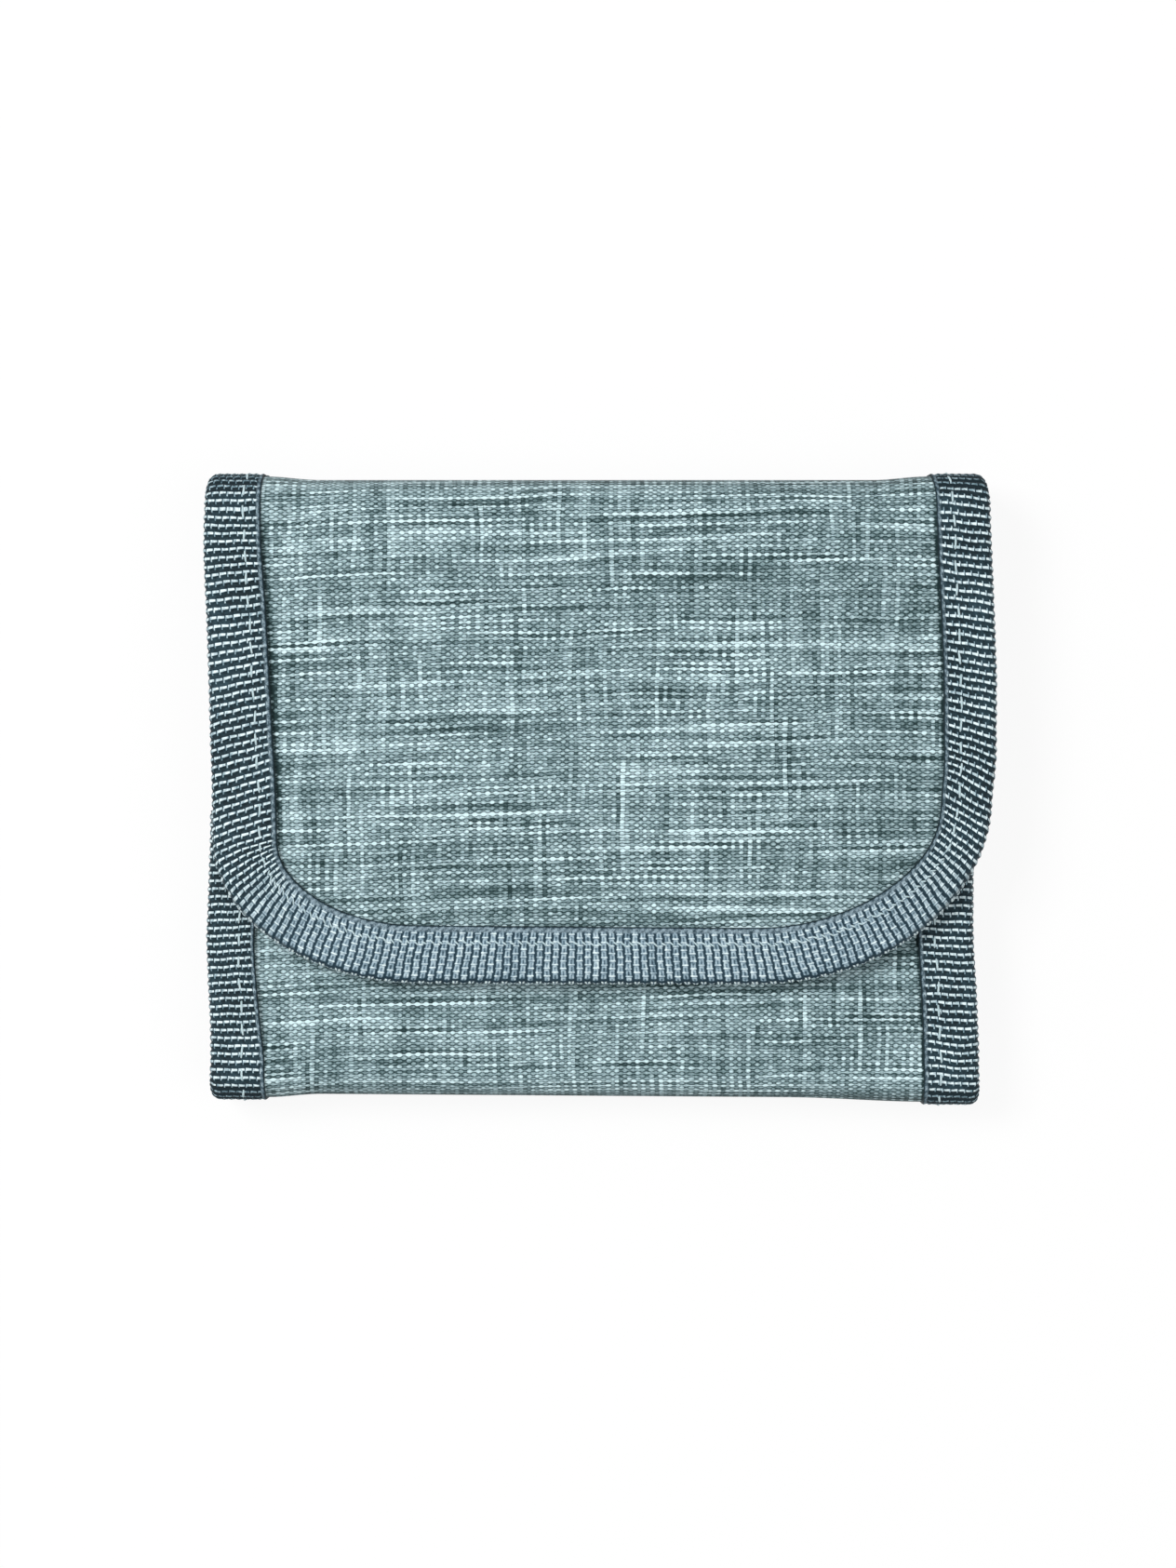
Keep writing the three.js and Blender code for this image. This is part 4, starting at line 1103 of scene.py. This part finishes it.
def zip_teeth(name, node, side):
    """Moulded teeth on a cord: a neck on the cord and a wider head that reaches past the middle."""
    pitch, count, c = 2.4, 37, 0.16
    first = -((count - 1) * pitch) / 2 + side * pitch / 4
    # distance from the zip's middle towards this side, half length along the zip, foot, top
    sections = [(-0.70, 0.26, 8.75, 9.45), (-0.58, 0.44, 8.58, 9.66), (-0.15, 0.47, 8.52, 9.74),
                (0.28, 0.30, 8.52, 9.72), (0.75, 0.30, 8.48, 9.72), (1.1, 0.46, 8.42, 9.74),
                (2.0, 0.47, 8.42, 9.72), (2.42, 0.42, 8.42, 9.55), (2.5, 0.30, 8.44, 9.3)]
    tooth = np.array([[(a, ZIP_Y + side * d, z) for a, z in (
        (-h, z0 + c), (-h + c, z0), (h - c, z0), (h, z0 + c),
        (h, z1 - c), (h - c, z1), (-h + c, z1), (-h, z1 - c))] for d, h, z0, z1 in sections])
    loops = np.array([tooth + (x, 0, 0) for x in first + pitch * np.arange(count)])
    settle_in(loft(name, loops, loops[..., :2], TEETH, sharp=60), "back_panel", "zip_teeth", node)
    xs = np.linspace(-47.5, 47.5, 160)[:, None]
    a = np.linspace(0, 2 * PI, 11)[:-1]
    radius = 0.42 + 0.03 * np.sin(xs * 2 * PI / 1.1)
    cord = xyz(xs, ZIP_Y + side * (1.75 + radius * 1.2 * np.cos(a)), 8.82 + radius * np.sin(a))
    settle_in(loft(name.replace("teeth", "cord"), cord, xyz(xs, a), ZIP_CLOTH), "back_panel", "zip_tape")


for build, made, part in ((zip_tape, "woven", "tape"), (zip_teeth, "moulded", "teeth")):
    for side, level in ((1, "upper"), (-1, "lower")):
        build(f"zip_{made}_{part}_{level}", f"zip_{part}_{level}", side)

for hand, end, x0 in (("right", "closed", 46.3), ("left", "open", -48.3)):
    outline = rounded_box(x0, x0 + 2.0, ZIP_Y - 3.6, ZIP_Y + 3.6, 0.6)
    clip = plate(f"zip_end_clip_{hand}", [outline], 8.42, 9.5, 0.3, METAL)
    settle_in(clip, "back_panel", "zip_metal", f"zip_stop_{end}_end")


def zip_slider():
    x0, x1, y = 35.1, 46.1, ZIP_Y
    half = [(x1, 0.9), (x1 - 0.1, 1.9), (x1 - 0.5, 3.1), (x1 - 1.3, 3.9), (x1 - 2.3, 4.2), (x1 - 4.2, 4.2),
            (x1 - 6.2, 3.95), (x1 - 8.0, 3.7), (x1 - 9.6, 3.45), (x1 - 10.5, 3.05), (x1 - 10.9, 2.3),
            (x0, 1.2)]
    outline = [(px, y + py) for px, py in half] + [(px, y - py) for px, py in half[::-1]]
    settle_in(plate("slider_plate", [outline], 10.0, 10.95, 0.28, METAL), "slider", "zip_metal", "zip_slider")
    for side, level in ((-1, "lower"), (1, "upper")):
        wall = [(x0 + 0.5, 2.35), (x1 - 1.6, 3.0), (x1 - 1.1, 3.6), (x1 - 2.2, 4.15), (x0 + 3.0, 4.0),
                (x0 + 0.4, 3.3)]
        outline = [(px, y + side * py) for px, py in wall][::side]
        settle_in(plate(f"slider_flange_{level}", [outline], 8.62, 10.04, 0.18, METAL), "slider", "zip_metal")
    # the bail that carries the pull
    path = np.array([(37.6, 10.75), (37.6, 11.7), (37.8, 12.2), (38.3, 12.42), (40.6, 12.46), (42.9, 12.42),
                     (43.4, 12.2), (43.6, 11.7), (43.6, 10.75)])
    t = lengths(path)
    line = along(np.linspace(0, t[-1], 40), t, path)
    soften(line, 3)
    (px, pz), (tx, tz) = line.T, np.gradient(line, axis=0).T
    length = np.hypot(tx, tz)
    a = np.linspace(0, 2 * PI, 17)[:-1]
    ways = (0.62, np.cos(a)), (0.33, np.sin(a))
    wide, high = (size * np.copysign(np.abs(way) ** 0.6, way) for size, way in ways)
    loops = xyz((px - tz / length * high[:, None]).T, y + wide, (pz + tx / length * high[:, None]).T)
    settle_in(loft("slider_bail", loops, loops[..., :2], METAL, sharp=60), "slider", "zip_metal")


def zip_pull():
    y, head, neck = ZIP_Y, 41.15, 35.15
    ring = [p for p in rounded_box(neck, head, y - 4, y + 4, 1.6, 8) if p[0] > neck + 0.9]
    # one outline for ring and tab: the tab is a little waisted and its end is round
    tab = [(neck + 0.2, y - 2.4), (33.0, y - 2.1), (29.5, y - 2.2), (26, y - 2.6), (23.5, y - 3.0),
           (21.5, y - 3.1), (20.2, y - 2.6), (19.4, y - 1.5), (19.15, y)]
    tab = tab + [(px, 2 * y - py) for px, py in tab[-2::-1]]
    ring = sorted(ring, key=lambda p: math.atan2(p[1] - y, p[0] - (head + neck) / 2))
    outline = [(neck + 0.35, y - 3.4)] + ring + [(neck + 0.35, y + 3.4)] + tab[::-1]
    hole = rounded_box(neck + 1.1, head - 1.1, y - 2.9, y + 2.9, 0.9, 5)
    eye = [(22.15 + 1.4 * math.cos(a), y + 1.4 * math.sin(a)) for a in np.linspace(0, 2 * PI, 25)[:-1]]
    obj = plate("zip_pull_tab", [outline, hole, eye], 11.1, 11.9, 0.2, METAL, sharp=40)
    settle_in(obj, "pull", "zip_metal", "zip_pull")
    grip = rounded_box(25.2, 32.2, y - 1.25, y + 1.25, 1.2)
    settle_in(plate("zip_pull_grip", [grip], 11.82, 12.02, 0.09, METAL), "pull", "zip_metal")


zip_slider()
zip_pull()


# Card pockets and the clear window
CARD_MOUTHS = (25.798, 15.798, 5.798)
CARD_Z = (9.0, 9.5, 10.0)  # undersides of the two card pockets and the window
CARD_X, CARD_Y0, CARD_T = 47.2, -45.178, 0.4
for row, mouth, z in zip(("rear", "middle"), CARD_MOUTHS, CARD_Z):
    card_top = pocket_sheet(f"card_pocket_{row}_cloth", f"card_pocket_{row}", CARD_X, CARD_Y0, mouth, z,
                            CARD_T, hem=(mouth, 4.5), gape=0.32)
    seam_on(f"card_pocket_{row}_cloth_stitches", card_top, np.linspace(-46, 46, 100), mouth - 3.5, 0.04)

mouth = CARD_MOUTHS[2]
low, high, inner = CARD_Y0 + 5, mouth - 5, CARD_X - 5
pocket_sheet("id_window_film", "id_window", CARD_X, CARD_Y0, mouth, CARD_Z[2], CARD_T, FILM, "clear_window",
             gape=0.2)
border_top = pocket_sheet("id_window_border", "id_window_frame", CARD_X, CARD_Y0, mouth, CARD_Z[2] + CARD_T,
                          CARD_T, WEBBING, "binding_tape", gape=0.2,
                          keep=lambda X, Y: ~((np.abs(X) < inner) & (Y > low) & (Y < high)),
                          notch=((inner, low, high), (inner - 0.01, low + 0.01, high - 0.01)))
for label, d in (("outer", 0.9), ("inner", 4.1)):
    x, a, b = CARD_X - d, CARD_Y0 + d, mouth - d
    up, over = np.linspace(a, b, 40), np.linspace(-x, x, 70)
    line = np.concatenate([xyz(-x, up[::-1]), xyz(over, a)[1:], xyz(x, up)[1:], xyz(over[::-1], b)[1:]])
    seam_on(f"id_window_{label}_stitches", border_top, *line.T, 0.04, slot="binding_tape",
            material=THREAD_LIGHT)
ys = np.linspace(CARD_MOUTHS[2] + 0.5, CARD_MOUTHS[0] - 0.5, 40)
z = CARD_Z[0] + 0.45 + 0.5 * smooth(CARD_MOUTHS[1] + 0.5, CARD_MOUTHS[1] - 0.5, ys)
for side, hand in SIDES:
    seam(f"card_pocket_stitches_{hand}", xyz(side * 46.2, ys, z))


# Hook-and-loop closure
LOOP_FOOT, LOOP_TOP = 13.02, 13.62
HOOK_FOOT, HOOK_ROOT, HOOK_TOP = 15.42, 15.45, 15.86


def closure():
    rng = np.random.default_rng(11)
    x0, x1, y0, y1 = -35.0, 35.0, -21.6, -5.6
    xs, ys = samples(x0, x1, 0.45), samples(y0, y1, 0.45)
    phase = rng.uniform(0, 6.28, 40)
    kx, ky = rng.uniform(-4, 4, 40), rng.uniform(-4, 4, 40)

    def loop_top(X, Y):
        total = sum(np.sin(a * X + b * Y + p) for a, b, p in zip(kx, ky, phase)) / 6
        edge = smooth(0, 1.6, np.minimum(np.minimum(X - x0, x1 - X), np.minimum(Y - y0, y1 - Y)))
        return LOOP_TOP + edge * (0.42 + 0.13 * total)

    obj = field("loop_pad", xs, ys, loop_top, lambda X, Y: LOOP_FOOT, LOOPS, sharp=180)
    settle_in(obj, "front_panel", "hook_and_loop", "loop_strip")

    base = field("hook_pad", xs[::2], ys[::2], lambda X, Y: HOOK_TOP, lambda X, Y: HOOK_FOOT, HOOKS)
    settle_in(base, "flap", "hook_and_loop", "hook_strip")
    # each hook rises from the pad, leans over and turns back
    bent = np.array([(0, 0), (0, 0.28), (0.06, 0.5), (0.2, 0.62), (0.34, 0.56), (0.38, 0.42)])
    out, down = bent.T[..., None]
    lean = np.minimum(1.0, np.arange(6) / 3)[:, None] * PI / 2
    ring = np.linspace(0, 2 * PI, 6)[:-1]
    wide, high = 0.075 * np.cos(ring), 0.075 * np.sin(ring)
    reach = out + high * np.cos(lean)
    hooks = []
    for j, y in enumerate(np.arange(y0 + 2.0, y1 - 1.7, 0.62)):
        for x in np.arange(x0 + 2.0, x1 - 1.9, 0.55):
            turn = (1 if j % 2 else -1) * (0.9 + 0.25 * rng.standard_normal())
            cx, cy = x + rng.normal(0, 0.05), y + rng.normal(0, 0.05)
            hooks.append(xyz(cx + reach * math.sin(turn) + wide * math.cos(turn),
                             cy + reach * math.cos(turn) - wide * math.sin(turn),
                             HOOK_ROOT - down + high * np.sin(lean)))
    hooks = np.array(hooks)
    settle_in(loft("hook_pile", hooks, hooks[..., :2], HOOKS, sharp=180), "flap", "hook_and_loop")
    a, b, c, d = x0 + 1.1, x1 - 1.1, y0 + 1.1, y1 - 1.1
    for name, body, z, up in (("loop", "front_panel", 13.66, 0.001), ("hook", "flap", 15.40, -0.001)):
        seam(f"{name}_pad_stitches", [(a, c, z), (b, c, z), (b, d, z), (a, d, z), (a, c + 0.5, z)], body,
             "hook_and_loop", up)


closure()


# Light, floor and camera
WORLD_SEEN, WORLD_LIGHT = 1.0, 0.38
FLOOR_DROP = 0.0004
FLOOR_REACH = 5.0
FLOOR_GLOW, FLOOR_SEEN = 1.12, 0.8
# name, place, size, power
LAMPS = (("key", (-0.66, 0.36, 1.08), 0.5, 10.6), ("fill", (0.55, -0.2, 1.1), 0.9, 3.9))
PHOTO = (1264, 1685)
PIXELS = 6.5  # of the photo in a millimetre
PHOTO_MIDDLE = (-12.5, 5.5)  # from the part's origin, in pixels
LENS, SENSOR = 85.0, 36.0


def stage():
    scene = bpy.context.scene
    scene.world = bpy.data.worlds.new("studio")
    scene.world.use_nodes = True
    w = Tree(scene.world.node_tree)
    strengths = WORLD_LIGHT, WORLD_SEEN
    shaders = (w.node("ShaderNodeBackground", (1, 1, 1, 1), strength)[0] for strength in strengths)
    w.node("ShaderNodeOutputWorld", w.mix_shaders(*shaders))

    mesh = bpy.data.meshes.new("floor")
    corners = [(x * FLOOR_REACH, y * FLOOR_REACH, 0) for x, y in ((-1, -1), (1, -1), (1, 1), (-1, 1))]
    mesh.from_pydata(corners, [], [(0, 1, 2, 3)])
    floor = new_object("floor", mesh)
    floor.location.z = CAD_BOX[0][2] - FLOOR_DROP
    m = Material("floor_white")
    m.finish((0.5, 0.5, 0.5, 1), 0.9)
    glow = m.node("ShaderNodeEmission", None, FLOOR_GLOW)[0]
    m.put(m.out, m.mix_shaders(m.shader.outputs[0], glow, FLOOR_SEEN))
    mesh.materials.append(m.material)

    for name, place, size, power in LAMPS:
        data = bpy.data.lights.new(name, "AREA")
        data.shape, data.size, data.energy = "SQUARE", size, power
        lamp = new_object(name, data)
        lamp.location = place
        lamp.rotation_euler = (-Vector(place)).to_track_quat("-Z", "Y").to_euler()
    scene.view_settings.view_transform = "Standard"

    data = bpy.data.cameras.new("camera")
    data.lens, data.sensor_fit, data.clip_start = LENS, "VERTICAL", 0.01
    data.sensor_width, data.sensor_height = SENSOR * PHOTO[0] / PHOTO[1], SENSOR
    scene.camera = new_object("camera", data)
    distance = PHOTO[1] / PIXELS * LENS / SENSOR
    scene.camera.location = (*(c / PIXELS * MM for c in PHOTO_MIDDLE), (TOP.top + distance) * MM)


stage()
